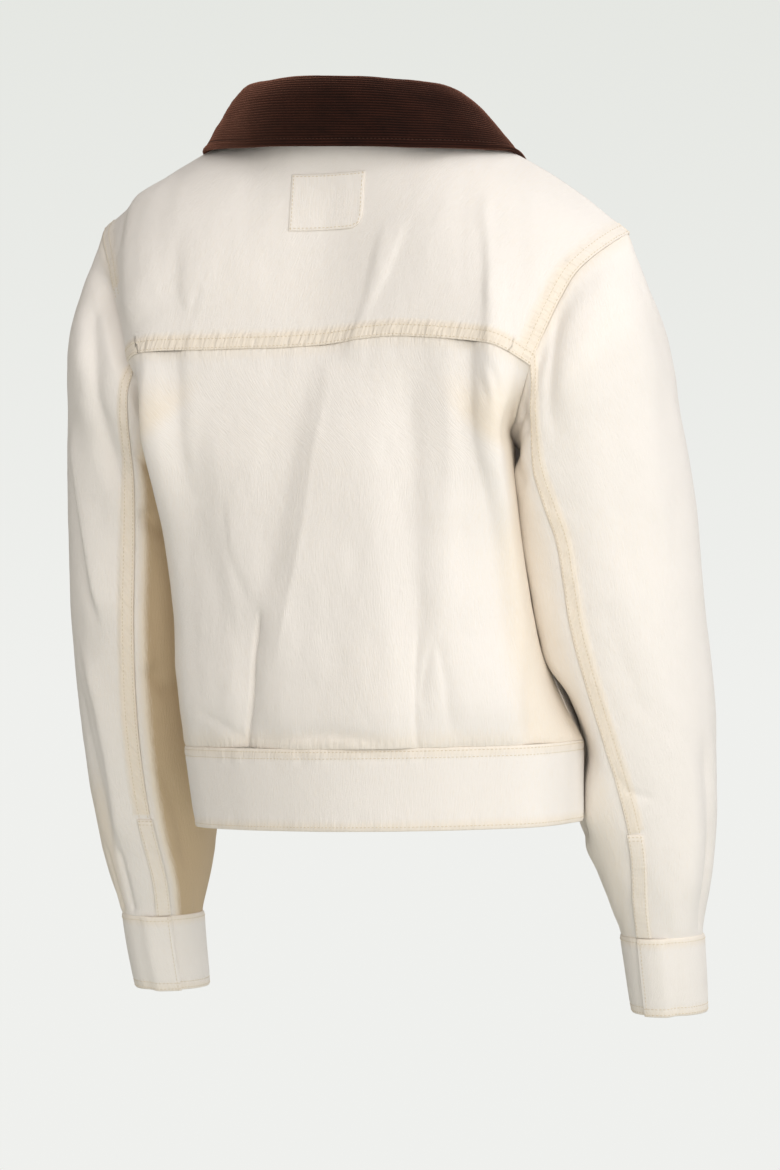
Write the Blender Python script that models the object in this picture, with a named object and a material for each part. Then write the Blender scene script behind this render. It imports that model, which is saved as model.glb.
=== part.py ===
"""A cropped utility jacket, hollow and filled out as it hangs when worn.

Cream cotton twill with a brown corduroy collar. +Z is up, the front faces -Y and the wearer's
left is +X. The origin is the middle of the neck, level with the neck points of the shoulder seams.
Every panel is a thin wall: a skin of points on the cloth's outer face and a second layer behind it.
"""

import math
from collections import namedtuple

import bpy
import numpy as np
from mathutils.bvhtree import BVHTree
from mathutils.kdtree import KDTree

for old in list(bpy.data.objects):
    bpy.data.objects.remove(old, do_unlink=True)

MM = 0.001

# Cloth and seams
TWILL = 1.6 * MM
DOUBLED = 2.2 * MM
CORDUROY = 1.5 * MM
SEAM_GAP = 0.36 * MM
LEAST_DEPTH = 0.6
SAME_SPOT = 0.6 * MM
ALIKE = 0.85
TURN_REACH = 14 * MM
RIM_ORDER = np.array((1.0, 0.37, 1.7))
LAY_GAP = 0.35 * MM
FELL_RISE = 0.8 * MM
FELL_WIDTH = 11.0 * MM
FELL_SLOPE = 1.5 * MM

# How finely the panels are divided
NECK_STEPS = 6
SHOULDER_STEPS = 4
LOWER_STEPS = 2
UPPER_STEPS = 1
CHEST_STEPS = 2
RING_COUNTS = (9, 3 * UPPER_STEPS, 2 * CHEST_STEPS, 3 * CHEST_STEPS)
YOKE_LEVELS = (0.0, 0.066, 0.075, 0.22, 0.36, 0.50, 0.63, 0.76, 0.88, 1.0)
SLEEVE_STEPS = 2

# How the wearer stands: hips to the right, right shoulder low, left hip low
HIP_SHIFT = -27.0 * MM
HIP_LEVEL = -500 * MM
SHIFT_FROM = -120 * MM
SHOULDER_TILT = 0.030
HIP_TILT = -0.030
ARM_SHIFT = -6.0 * MM
WRIST_LEVEL = -650 * MM
WRIST_TWIST = math.radians(15)
TWIST_FROM, TWIST_OVER = 400, 240  # mm below the neck point

# Hem band
BAND_HEIGHT = 64 * MM
BAND_NARROWING = 0.972
BAND_OVERLAP = 20 * MM
BAND_LEVELS = 4

# Front placket and buttons
PLACKET_HALF = 18 * MM
PLACKET_NECK_CLEAR = 0.15
PLACKET_FOOT_CLEAR = 0.02
# A button's half section in mm: radius, height
BUTTON_PROFILE = ((0, 0), (7.3, 0), (8.5, 0.9), (8.5, 2.1), (7.5, 3.0), (6.3, 2.2), (0, 2.2))
BUTTON_SIDES = 16
BUTTON_LEVELS = (-118 * MM, -200 * MM, -282 * MM, -364 * MM, -446 * MM)

# Cuffs and sleeve plackets
CUFF_OVERLAP = math.radians(34)
CUFF_RISE_OVER = math.radians(46)
CUFF_STEPS = 16
CUFF_LEVELS = 4
PLACKET_TOP = -557 * MM
PLACKET_END_CLEAR = 0.03
SLEEVE_PLACKET_WIDTH = 11 * MM
SLEEVE_CLEAR = 3.5 * MM

# Collar: its rows are counted from the neck seam (0) by the fold (3) to the edge of the fall (6)
COLLAR_ROWS = (0, 0.67, 1.33, 2, 2.35, 2.7, 3, 3.35, 3.7, 4, 4.35, 4.7, 5, 5.35, 5.7, 6)
FALL_ROWS = 6
WALE_RISE = 0.4 * MM
FOLD_HALF = 3.6 * MM
FOLD_DROP = 4.4 * MM
FALL_BULGE = 2.5 * MM
UNDER_THICK = 1.1 * MM
WALES = 26
COLLAR_CLEAR = 3.2 * MM
BESIDE = 3 * MM
SETTLE_PASSES = 3
SETTLE_SHARE = 0.6
COLLAR_END_STEP = 0.3

# Neck patch
PATCH_WIDTH = 62 * MM
PATCH_HEIGHT = 45 * MM
PATCH_THICK = 1.0 * MM
PATCH_MIDDLE = (-0.5 * MM, -61.5 * MM)
PATCH_TURN = math.radians(-1.5)
PATCH_CORNER = 9 * MM
PATCH_CORNER_PULL = 0.32

# Sections of the panels, in mm from the origin as (across, behind, above), before the wearer's lean.
# Each row is one section, from the middle of the garment out to the side; both sides are alike.
Section = namedtuple("Section", "level middle inner neck_point outer side")

BACK_SECTIONS = (
    Section("band seam", (0, 119, -488), (52, 113, -488), (102, 97, -488), (151, 65, -488), (164, 0, -488)),
    Section("blouse", (0, 121, -462), (53, 117, -462), (102, 104, -462), (150, 71, -462), (152, 0, -462)),
    Section("waist", (0, 118, -400), (53, 115, -400), (103, 104, -400), (149, 67, -400), (135, 0, -400)),
    Section("ribs", (0, 113, -330), (53, 111, -330), (103, 103, -330), (151, 72, -330), (131, 0, -328)),
    Section("underarm", (0, 105, -262), (53, 105, -262), (103, 102, -261), (154, 93, -258), (135, 8, -250)),
    Section("lower blade", (0, 101, -231), (53, 102, -231), (102, 101, -231), (153, 99, -235),
             (145, 41, -241)),
    Section("blade", (0, 97, -202), (52, 99, -202), (101, 99, -203), (151, 99, -209), (159, 67, -219)),
    Section("yoke seam", (0, 92, -174.5), (52, 95, -174), (100, 97.5, -175), (147, 96.5, -179),
             (171, 82, -190)),
)

YOKE_SECTIONS = (
    BACK_SECTIONS[-1],
    Section("blade top", (0, 80, -130), (52, 86, -130), (102, 89, -131), (152, 86, -140), (184, 66, -153)),
    Section("upper back", (0, 69, -85), (51, 75, -85), (100, 77, -85), (157, 69, -98), (200, 47, -115)),
    Section("neck base", (0, 62.5, -42), (51, 62, -42), (97, 51, -35), (161, 40, -56), (218, 22, -92)),
    Section("neck and shoulder", (0, 62, -4), (50, 48, -1), (92, 10, -4), (163, 3, -35), (234, 0, -83)),
)

FRONT_SECTIONS = (
    Section("band seam", (0, -112, -488), (52, -107, -488), (100, -91, -488), (138, -57, -488),
             (164, 0, -488)),
    Section("blouse", (0, -116, -462), (53, -112, -462), (99, -98, -462), (134, -66, -462), (152, 0, -462)),
    Section("waist", (0, -116, -400), (53, -112, -400), (96, -98, -400), (123, -66, -400), (135, 0, -400)),
    Section("ribs", (0, -117, -330), (53, -114, -330), (96, -101, -330), (121, -68, -330), (131, 0, -328)),
    Section("underarm", (0, -115, -262), (53, -114, -261), (99, -104, -259), (133, -74, -256),
             (135, 8, -250)),
    Section("armhole low", (0, -110, -222), (53, -110, -220), (99, -102, -217), (136, -80, -217),
             (141, -32, -238)),
    Section("armhole mid", (0, -103, -180), (52, -103, -175), (97, -96, -166), (138, -81, -170),
             (157, -60, -199)),
    Section("armhole high", (0, -96, -140), (52, -93, -128), (93, -80, -108), (145, -68, -122),
             (178, -62, -153)),
    Section("collar bone", (0, -90, -106), (56, -79, -86), (90, -45, -45), (153, -38, -66), (207, -36, -108)),
    Section("neck and shoulder", (0, -84, -80), (64, -58, -54), (92, 10, -4), (163, 3, -35), (234, 0, -83)),
)

# Sleeve rings in mm: the outer and inner points of each ring, the middle's place fore and aft, half
# the ring's depth, and the angle in degrees from the outer point round the back to the back seam.
Ring = namedtuple("Ring", "outer outer_above inner inner_above behind half_depth seam_angle")
SLEEVE_RINGS = (
    Ring(246.0, -150, 144, -268, 0, 81, 116),
    Ring(254.0, -215, 143, -300, -14, 81, 116),
    Ring(266.0, -300, 142, -345, -28, 80, 112),
    Ring(270.0, -385, 143, -400, -38, 79, 108),
    Ring(273.0, -457, 149, -462, -52, 75, 104),
    Ring(271.0, -520, 161, -522, -62, 66, 102),
    Ring(267.0, -570, 171, -572, -70, 57, 104),
    Ring(260.0, -612, 180, -613, -77, 48, 111),
    Ring(252.5, -642.5, 190, -642.5, -83, 41, 116),
)
CUFF_RINGS = (
    Ring(254.5, -642.5, 188.5, -642.5, -83, 42, 117),
    Ring(253.0, -676, 190, -676, -92, 41, 118),
    Ring(251.0, -706.5, 191, -706.5, -101, 39, 119),
)

# Collar lines in mm from the centre front end round to the centre back, both sides alike.
CollarLine = namedtuple("CollarLine", "front_end front shoulder nape_side nape")
FOLD_LINE = CollarLine((16, -84, -65), (78, -42, -14), (90, 14, 26), (54, 52, 33), (0, 69, 35))
FALL_EDGE = CollarLine((66, -121, -130), (124, -62, -62), (135, 6, -21.5), (72, 68, -19), (0, 81, -19))

# How far the yoke seam stands above (+) or below (-) level across the back, in mm.
Sway = namedtuple("Sway", "x rise")
YOKE_SEAM_SWAY = tuple(Sway(*pair) for pair in (
    (-175, 2), (-144, 7), (-66, 7), (0, -1), (34, -4), (88, -6), (140, -4), (170, 1)))
SWAY_REACH = 70 * MM

# Folds on the outside of the cloth, in mm: a soft trough (-) or ridge (+) from one point to another.
Fold = namedtuple("Fold", "x0 z0 x1 z1 width height")
BACK_FOLDS = (
    Fold(63, -487, 57, -385, 7, -4.5),
    Fold(57, -385, 8, -205, 14, -2.5),
    Fold(76, -487, 70, -400, 11, 2.5),
    Fold(-85, -487, -82, -330, 8, 3.5),
    Fold(-98, -487, -96, -300, 10, -3.5),
    Fold(-138, -45, -140, -310, 9, -5.0),
    Fold(-154, -120, -152, -225, 9, 2.0),
    Fold(140, -100, 128, -250, 13, -3.0),
    Fold(-108, -40, -60, -115, 15, -2.5),
    Fold(-50, -85, -30, -170, 15, -1.5),
)


def metres(points):
    return np.array(points, float) * MM


def spline(knots, values, at):
    """A smooth curve through values at knots, read at the places in at."""
    knots, values, at = np.asarray(knots, float), np.asarray(values, float), np.asarray(at, float)
    step = np.diff(knots)
    rise = np.diff(values, axis=0) / step[:, None]
    slope = np.empty_like(values)
    slope[1:-1] = (rise[:-1] * step[1:, None] + rise[1:] * step[:-1, None]) / (step[1:] + step[:-1])[:, None]
    slope[0] = 1.5 * rise[0] - 0.5 * slope[1]
    slope[-1] = 1.5 * rise[-1] - 0.5 * slope[-2]
    i = np.clip(np.searchsorted(knots, at, side="right") - 1, 0, len(knots) - 2)
    h = step[i][:, None]
    t = ((at - knots[i]) / step[i])[:, None]
    start = (2 * t**3 - 3 * t**2 + 1) * values[i] + (t**3 - 2 * t**2 + t) * h * slope[i]
    return start + (3 * t**2 - 2 * t**3) * values[i + 1] + (t**3 - t**2) * h * slope[i + 1]


def steps_between(count, parts):
    """Places 0 to count in section numbers, each interval cut into parts."""
    return np.linspace(0, count, count * parts + 1)


def section_grid(sections, up, across):
    """Points of a panel: up in section numbers, across from -1 to 1 in stations, one row of it a level."""
    half = metres([row[1:] for row in sections])
    mirror = half[:, :0:-1] * (-1, 1, 1)
    full = np.concatenate((mirror, half), axis=1)
    lengths = np.linalg.norm(np.diff(half, axis=0), axis=2).mean(axis=1)
    knots = np.concatenate(([0], np.cumsum(lengths)))
    at = np.interp(up, np.arange(len(knots)), knots)
    lines = np.stack([spline(knots, full[:, s], at) for s in range(full.shape[1])], axis=1)
    stations = np.linspace(-1, 1, full.shape[1])
    return np.stack([spline(stations, row, q) for row, q in zip(lines, across)])


def smooth(x):
    x = np.clip(x, 0, 1)
    return x * x * (3 - 2 * x)


def lean(points):
    """The wearer's stance: the hips to one side, the shoulders and hips out of level."""
    out = np.array(points, float)
    z = out[..., 2].copy()
    down = smooth((SHIFT_FROM - z) / (SHIFT_FROM - HIP_LEVEL))
    drift = np.clip((SHIFT_FROM - z) / (SHIFT_FROM - HIP_LEVEL), 0, 1.15)
    out[..., 2] += out[..., 0] * (SHOULDER_TILT * (1 - down) + HIP_TILT * down)
    out[..., 0] += HIP_SHIFT * drift
    return out


def sway(points, level):
    """The cloth near the yoke seam, moved up and down with the seam."""
    x, rise = metres(YOKE_SEAM_SWAY).T
    near = 1 - smooth(np.abs(points[..., 2] - level) / SWAY_REACH)
    out = points.copy()
    out[..., 2] += np.interp(points[..., 0], x, rise) * near
    return out


def normals_of(grid, turn):
    """Outward normals of a grid; turn is 1 or -1 by which way its rows and columns run."""
    up = np.gradient(grid, axis=0)
    across = np.gradient(grid, axis=1)
    normal = np.cross(up, across) * turn
    return normal / np.linalg.norm(normal, axis=2, keepdims=True)


def fold_height(points, normal, folds, facing):
    """How far each point stands out or in for the folds that face the back (1) or the front (-1)."""
    height = np.zeros(points.shape[:-1])
    for x0, z0, x1, z1, width, rise in metres(folds):
        ax, az = x1 - x0, z1 - z0
        length = math.hypot(ax, az)
        along = ((points[..., 0] - x0) * ax + (points[..., 2] - z0) * az) / length
        off = ((points[..., 0] - x0) * az - (points[..., 2] - z0) * ax) / length
        ends = smooth((along + width) / (2 * width)) * smooth((length + width - along) / (2 * width))
        height += rise * np.exp(-((off / width) ** 2)) * ends
    return height * smooth(normal[..., 1] * facing * 2)


class Panel:
    """A piece of cloth: its grid of points, its normals and how far its skin is raised."""

    def __init__(self, grid, turn, thick=TWILL):
        self.grid = grid
        self.turn = turn
        self.thick = thick
        self.raised = np.zeros(grid.shape[:2])
        self.refresh()

    def refresh(self):
        self.normal = normals_of(self.grid, self.turn)

    def rim(self):
        rows, columns = self.grid.shape[:2]
        edge = np.zeros((rows, columns), bool)
        edge[0], edge[-1], edge[:, 0], edge[:, -1] = True, True, True, True
        return edge


def share_normals(panels):
    """Panels that meet at a seam end in the same direction, so their walls stay apart.

    Pieces that lie in one plane there count as one, so the direction halves the angle at the seam.
    It then turns gently along the seam, so that the rims on its two sides match.
    """
    rims = [panel.rim() for panel in panels]
    spots = np.concatenate([panel.grid[rim] for panel, rim in zip(panels, rims)])
    facing = np.concatenate([panel.normal[rim] for panel, rim in zip(panels, rims)])
    tree = KDTree(len(spots))
    for i, spot in enumerate(spots):
        tree.insert(spot, i)
    tree.balance()
    halved = np.empty_like(facing)
    for i, spot in enumerate(spots):
        near = facing[[j for _, j, _ in tree.find_range(spot, SAME_SPOT)]]
        alike = (near @ near.T > ALIKE).sum(axis=1)
        halved[i] = (near / alike[:, None]).sum(axis=0)
        halved[i] /= np.linalg.norm(halved[i])
    turned = np.empty_like(halved)
    for i, spot in enumerate(spots):
        found = tree.find_range(spot, TURN_REACH)
        weight = np.array([1 - away / TURN_REACH for _, _, away in found])
        turned[i] = (halved[[j for _, j, _ in found]] * weight[:, None]).sum(axis=0)
        turned[i] /= np.linalg.norm(turned[i])
    first = 0
    for panel, rim in zip(panels, rims):
        count = int(rim.sum())
        panel.normal[rim] = turned[first:first + count]
        first += count


def edge_shift(panel, gap, keep=()):
    """Half a seam gap into the panel, square to the rim, on each edge that is not named in keep.

    Where two pieces fold back on each other, the back of the wall keeps a least depth at the rim.
    """
    shift = np.zeros_like(panel.grid)
    spread = np.zeros_like(panel.grid)
    own = normals_of(panel.grid, panel.turn)
    everywhere = slice(None)
    edges = {
        "bottom": ((0, everywhere), -1),
        "top": ((-1, everywhere), 1),
        "start": ((everywhere, 0), 1),
        "end": ((everywhere, -1), -1),
    }
    for edge, (rim, way) in edges.items():
        if edge in keep:
            continue
        inward = np.cross(own[rim], np.gradient(panel.grid[rim], axis=0)) * way * panel.turn
        facing = panel.normal[rim]
        inward -= (inward * facing).sum(axis=-1, keepdims=True) * facing
        inward /= np.linalg.norm(inward, axis=-1, keepdims=True)
        shift[rim] += inward * gap / 2
        depth = (own[rim] * facing).sum(axis=-1, keepdims=True)
        spread[rim] = -own[rim] * np.clip(LEAST_DEPTH - depth, 0, None) * panel.thick
    return shift, spread


def level_rim(panel, row):
    """Turns a rim's direction level, for two pieces that meet end to end on a level line."""
    panel.normal[row, :, 2] = 0
    panel.normal[row] /= np.linalg.norm(panel.normal[row], axis=1, keepdims=True)


def material(name, colour, roughness):
    made = bpy.data.materials.new(name)
    made.use_nodes = True
    shader = made.node_tree.nodes["Principled BSDF"]
    shader.inputs["Base Color"].default_value = (*colour, 1)
    shader.inputs["Roughness"].default_value = roughness
    shader.inputs["Metallic"].default_value = 0
    return made


def add_mesh(name, points, faces, made):
    """One closed body from points and faces, its faces turned out."""
    points = np.asarray(points, float)
    triangles = []
    for face in faces:
        triangles += [(face[0], face[i], face[i + 1]) for i in range(1, len(face) - 1)]
    a, b, c = (points[[t[i] for t in triangles]] for i in range(3))
    if np.einsum("ij,ij->i", a, np.cross(b, c)).sum() < 0:
        triangles = [t[::-1] for t in triangles]
    mesh = bpy.data.meshes.new(name)
    mesh.from_pydata([tuple(p) for p in points], [], triangles)
    mesh.update()
    made_object = bpy.data.objects.new(name, mesh)
    made_object.data.materials.append(made)
    bpy.context.scene.collection.objects.link(made_object)
    mesh.shade_smooth()
    mesh.set_sharp_from_angle(angle=math.radians(40))
    return made_object


def grid_quads(rows, columns):
    """The four corners of each cell of a grid; the first is where the cell's diagonal starts."""
    quads = []
    for r in range(rows - 1):
        for c in range(columns - 1):
            a = r * columns + c
            quad = (a, a + 1, a + columns + 1, a + columns)
            quads.append(quad[1:] + quad[:1] if (r + c) % 2 else quad)
    return quads


def add_wall(name, skin, back, made):
    """A closed wall between two grids of points of the same size."""
    rows, columns = skin.shape[:2]
    count = rows * columns
    points = np.concatenate((skin.reshape(-1, 3), back.reshape(-1, 3)))
    faces = []

    def at(r, c):
        return r * columns + c

    for quad in grid_quads(rows, columns):
        faces.append(quad)
        faces.append(tuple(quad[i] + count for i in (0, 3, 2, 1)))
    ring = [at(0, c) for c in range(columns)] + [at(r, columns - 1) for r in range(1, rows)]
    ring += [at(rows - 1, c) for c in range(columns - 2, -1, -1)] + [at(r, 0) for r in range(rows - 2, 0, -1)]
    order = points @ RIM_ORDER
    for i, j in zip(ring, ring[1:] + ring[:1]):
        rim = (j, i, i + count, j + count)
        faces.append(rim if order[i] < order[j] else rim[1:] + rim[:1])
    return add_mesh(name, points, faces, made)


def add_panel(name, panel, made, keep=()):
    shift, spread = edge_shift(panel, SEAM_GAP, keep)
    skin = panel.grid + panel.normal * panel.raised[..., None] + shift
    back = panel.grid - panel.normal * panel.thick + shift + spread
    return add_wall(name, skin, back, made)


def skin_tree(panels):
    """The outer faces of some panels, to find the place on the cloth that is nearest to a point."""
    points, faces = [], []
    for panel in panels:
        skin = (panel.grid + panel.normal * panel.raised[..., None]).reshape(-1, 3)
        for quad in grid_quads(*panel.grid.shape[:2]):
            for three in ((0, 1, 2), (0, 2, 3)):
                face = [quad[i] + len(points) for i in three]
                faces.append(face[::-1] if panel.turn > 0 else face)
        points += [tuple(spot) for spot in skin]
    return BVHTree.FromPolygons(points, faces)


def lift_off(points, tree, gap, reach=22 * MM):
    """Points near some cloth, pushed out until they clear its outer face by gap."""
    out = points.copy()
    flat = out.reshape(-1, 3)
    for n, spot in enumerate(flat):
        place, facing, _, away = tree.find_nearest(tuple(spot), reach)
        if place is None:
            continue
        facing = np.array(facing)
        height = (spot - np.array(place)) @ facing
        beside = math.sqrt(max(away**2 - height**2, 0))
        if height < gap and beside < BESIDE:
            flat[n] = spot + facing * (gap - height)
    return out


def settle(grid, tree, gap):
    """Rows of cloth kept clear of what they lie over, between their points as well as at them."""
    for _ in range(SETTLE_PASSES):
        grid = lift_off(grid, tree, gap)
        for axis in (0, 1):
            view = np.moveaxis(grid, axis, 0)
            middle = (view[:-1] + view[1:]) / 2
            push = (lift_off(middle, tree, gap) - middle) * SETTLE_SHARE
            view[:-1] += push
            view[1:] += push
        middle = (grid[:-1, :-1] + grid[1:, :-1] + grid[:-1, 1:] + grid[1:, 1:]) / 4
        push = (lift_off(middle, tree, gap) - middle) * SETTLE_SHARE
        for rows in (slice(None, -1), slice(1, None)):
            for columns in (slice(None, -1), slice(1, None)):
                grid[rows, columns] += push
    return grid


# Places across a panel, as stations from the middle (0) to the armhole or side seam (1)


def half_columns(edge_speed):
    """Columns from the middle to the edge: the last two bound the felled band beside the armhole."""
    inner = 1 - (FELL_WIDTH + FELL_SLOPE) / edge_speed
    neck = np.linspace(0, 0.5, NECK_STEPS + 1)
    shoulder = np.linspace(0.5, inner, SHOULDER_STEPS + 1)[1:]
    return np.concatenate((neck, shoulder, (1 - FELL_WIDTH / edge_speed, 1.0)))


def both_sides(half):
    return np.concatenate((-half[:0:-1], half))


def edge_speeds(sections, up):
    """How many metres one station unit spans at the edge, at each level."""
    near = section_grid(sections, up, [np.array((0.96, 1.0))] * len(up))
    return np.linalg.norm(near[:, 1] - near[:, 0], axis=1) / 0.04


def columns_for(sections, up):
    return [half_columns(speed) for speed in edge_speeds(sections, up)]


def pull_edge(grid, target, along_rows, reach):
    """Moves one edge of a grid onto target and the nearest rows or columns part of the way."""
    view = grid if along_rows else grid.transpose(1, 0, 2)
    off = target - view[-1]
    for k in range(reach):
        view[-1 - k] += off * (1 - smooth(k / reach))
    return grid


def body_panels():
    """The back, the yoke and both fronts, posed, with the seams that they share."""
    back_up = np.concatenate((steps_between(4, LOWER_STEPS), 4 + steps_between(3, UPPER_STEPS)[1:]))
    yoke_levels = np.array(YOKE_LEVELS) * (len(YOKE_SECTIONS) - 1)
    front_up = np.concatenate((steps_between(4, LOWER_STEPS), 4 + steps_between(5, CHEST_STEPS)[1:]))

    yoke_columns = columns_for(YOKE_SECTIONS, yoke_levels)
    yoke = section_grid(YOKE_SECTIONS, yoke_levels, [both_sides(c) for c in yoke_columns])
    back = section_grid(BACK_SECTIONS, back_up, [both_sides(yoke_columns[0])] * len(back_up))

    low = len(steps_between(4, LOWER_STEPS))
    front_columns = columns_for(FRONT_SECTIONS, front_up)
    front_columns = [front_columns[low]] * low + front_columns[low:]
    front_columns[-1] = yoke_columns[-1]
    front = section_grid(FRONT_SECTIONS, front_up, front_columns)

    # The front's shoulder seam is the yoke's, and its side seam is the back's.
    middle = len(front_columns[0]) - 1
    shoulder = front[-1].copy()
    shoulder[NECK_STEPS:] = yoke[-1, middle + NECK_STEPS:]
    pull_edge(front, shoulder, True, 4)
    side = front[:, -1].copy()
    side[:low] = back[:low, -1]
    pull_edge(front.transpose(1, 0, 2), side, True, 4)

    front_right = front[:, ::-1] * (-1, 1, 1)
    seam_level = yoke[0, :, 2]
    panels = {
        "back_panel": Panel(sway(lean(back), seam_level), 1),
        "back_yoke": Panel(sway(lean(yoke), seam_level), 1),
        "front_left": Panel(lean(front), -1),
        "front_right": Panel(lean(front_right), -1),
    }
    for panel in (panels["back_panel"], panels["back_yoke"]):
        height = fold_height(panel.grid, panel.normal, BACK_FOLDS, 1)
        height[:, (0, -1)] = 0
        panel.grid += panel.normal * height[..., None]
        panel.refresh()
    return panels, low


def raise_fells(panels, low):
    """The felled bands: above the yoke seam and beside each armhole."""
    yoke, left, right = panels["back_yoke"], panels["front_left"], panels["front_right"]
    yoke.raised[:2] = FELL_RISE
    yoke.raised[:, :2] = FELL_RISE
    yoke.raised[:, -2:] = FELL_RISE
    left.raised[low:, -2:] = FELL_RISE
    right.raised[low:, :2] = FELL_RISE


def armhole(panels, low, side):
    """The armhole's points from the shoulder round the back, under the arm and up the front."""
    column = -1 if side > 0 else 0
    front = panels["front_left" if side > 0 else "front_right"]
    yoke = panels["back_yoke"].grid[::-1, column]
    under = panels["back_panel"].grid[low - 1:, column][::-1]
    chest = front.grid[low - 1:, column]
    return np.concatenate((yoke, under[1:], chest[1:-1]))


def ring_angles(counts, seam):
    """Angles round a ring for the points of the armhole: shoulder, back seam, underarm, front seam."""
    back, under, low_front, high_front = counts
    levels = np.array(YOKE_LEVELS)[::-1]
    angles = list(seam * (1 - levels))
    angles += list(np.linspace(seam, math.pi, under + 1)[1:])
    front_seam = 2 * math.pi - seam * 0.95
    angles += list(np.linspace(math.pi, front_seam, low_front + 1)[1:])
    angles += list(np.linspace(front_seam, 2 * math.pi, high_front + 1)[1:-1])
    return np.array(angles)


def sleeve_ring(row, counts, side, twist):
    """One ring of points for a row of the sleeve or cuff table."""
    return ring_points(row, ring_angles(counts, math.radians(row.seam_angle) + twist), side)


def ring_points(row, angle, side):
    """Points of an oval ring at angles from its outer point round the back."""
    middle = metres(((row.outer + row.inner) / 2, row.behind, (row.outer_above + row.inner_above) / 2))
    out = metres(((row.outer - row.inner) / 2, 0, (row.outer_above - row.inner_above) / 2))
    back = metres((0, row.half_depth, 0))
    ring = middle + np.cos(angle)[:, None] * out + np.sin(angle)[:, None] * back
    return arm_lean(ring * (side, 1, 1))


def arm_lean(points):
    out = points.copy()
    out[..., 0] += ARM_SHIFT * np.clip(out[..., 2] / WRIST_LEVEL, 0, 1.1)
    return out


def twist_at(row, side):
    return side * WRIST_TWIST * float(smooth((-row.outer_above - TWIST_FROM) / TWIST_OVER))


def sleeve_grid(panels, low, side):
    """Points of a whole sleeve, from the armhole down to the cuff, a column for each armhole point."""
    loop = armhole(panels, low, side)
    rings = [loop] + [sleeve_ring(row, RING_COUNTS, side, twist_at(row, side)) for row in SLEEVE_RINGS]
    rings = np.stack(rings)
    lengths = np.linalg.norm(np.diff(rings, axis=0), axis=2)
    at = steps_between(len(SLEEVE_RINGS), SLEEVE_STEPS)
    lines = []
    for c in range(rings.shape[1]):
        knots = np.concatenate(([0], np.cumsum(lengths[:, c])))
        lines.append(spline(knots, rings[:, c], np.interp(at, np.arange(len(knots)), knots)))
    grid = np.stack(lines, axis=1)
    body = ("back_panel", "front_left" if side > 0 else "front_right", "hem_band")
    tree = skin_tree([panels[name] for name in body])
    grid[1] = lift_off(grid[1], tree, SLEEVE_CLEAR / 3)
    grid[2:] = settle(grid[2:], tree, SLEEVE_CLEAR)
    return grid


def sleeve_panels(panels, low, side):
    """The top and under panels of one sleeve."""
    word = "left" if side > 0 else "right"
    grid = sleeve_grid(panels, low, side)
    seam_back = RING_COUNTS[0]
    seam_front = sum(RING_COUNTS[:3])
    turn = 1 if side > 0 else -1
    under = Panel(grid[:, seam_back:seam_front + 1], turn)
    top = Panel(np.concatenate((grid[:, seam_front:], grid[:, :seam_back + 1]), axis=1), turn)
    felled = top.grid[:, -1, 2] > PLACKET_TOP
    top.raised[felled, -2:] = FELL_RISE
    return {f"sleeve_top_{word}": top, f"sleeve_under_{word}": under}


def along_row(panel, row, distances, from_end):
    """Points and normals on a panel's level at distances in from its end, or from its start."""
    line, normal = level_at(panel, row)
    if from_end:
        line, normal = line[::-1], normal[::-1]
    run = np.concatenate(([0], np.cumsum(np.linalg.norm(np.diff(line, axis=0), axis=1))))
    points = np.stack([np.interp(distances, run, line[:, k]) for k in range(3)], axis=1)
    facing = np.stack([np.interp(distances, run, normal[:, k]) for k in range(3)], axis=1)
    step = (line[0] - line[1]) / run[1]
    past = np.clip(-np.asarray(distances), 0, None)
    points += past[:, None] * step
    return points, facing / np.linalg.norm(facing, axis=1, keepdims=True)


def level_at(panel, row):
    """One level of a panel, also between two rows of its grid."""
    low = min(int(row), len(panel.grid) - 2)
    part = row - low
    line = panel.grid[low] * (1 - part) + panel.grid[low + 1] * part
    normal = panel.normal[low] * (1 - part) + panel.normal[low + 1] * part
    return line, normal


def add_layer(name, points, normal, gap, thick, made):
    """A strip of cloth that lies on a panel: the panel's own points, moved out."""
    return add_wall(name, points + normal * (gap + thick), points + normal * gap, made)


def sleeve_placket(panels, side, made):
    word = "left" if side > 0 else "right"
    top = panels[f"sleeve_top_{word}"]
    start = int(np.argmax(top.grid[:, -1, 2] < PLACKET_TOP))
    rows = np.linspace(start, len(top.grid) - 1 - PLACKET_END_CLEAR, 6)
    distances = np.array((-1.5 * MM, 2.5 * MM, 6.5 * MM, SLEEVE_PLACKET_WIDTH))
    pairs = [along_row(top, row, distances, True) for row in rows]
    points = np.stack([pair[0] for pair in pairs])
    normal = np.stack([pair[1] for pair in pairs])
    add_layer(f"sleeve_placket_{word}", points, normal, LAY_GAP, TWILL, made)


def overlap_lift(count, thick, steps):
    """How far each column of an overlapping strip stands off: nothing, then clear of its own start."""
    lift = np.zeros(count)
    lift[-steps:] = thick + LAY_GAP
    return lift


def cuff_panel(side):
    """A plain cuff whose end at the back lies over its start."""
    levels = []
    for row in CUFF_RINGS:
        end = math.radians(row.seam_angle) + twist_at(row, side)
        angle = np.concatenate((
            end + np.linspace(-CUFF_OVERLAP, 0, 3)[:-1],
            end + np.linspace(0, 2 * math.pi - CUFF_RISE_OVER, CUFF_STEPS + 1)[:-1],
            end + 2 * math.pi + np.linspace(-CUFF_RISE_OVER, 0, 5),
        ))
        levels.append(ring_points(row, angle, side))
    at = np.linspace(0, len(levels) - 1, CUFF_LEVELS)
    grid = np.stack(levels)
    grid = np.stack([spline(np.arange(len(levels)), grid[:, c], at) for c in range(grid.shape[1])], axis=1)
    panel = Panel(grid, 1 if side > 0 else -1, DOUBLED)
    panel.grid += panel.normal * overlap_lift(grid.shape[1], DOUBLED, 4)[:, None]
    return panel


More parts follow.
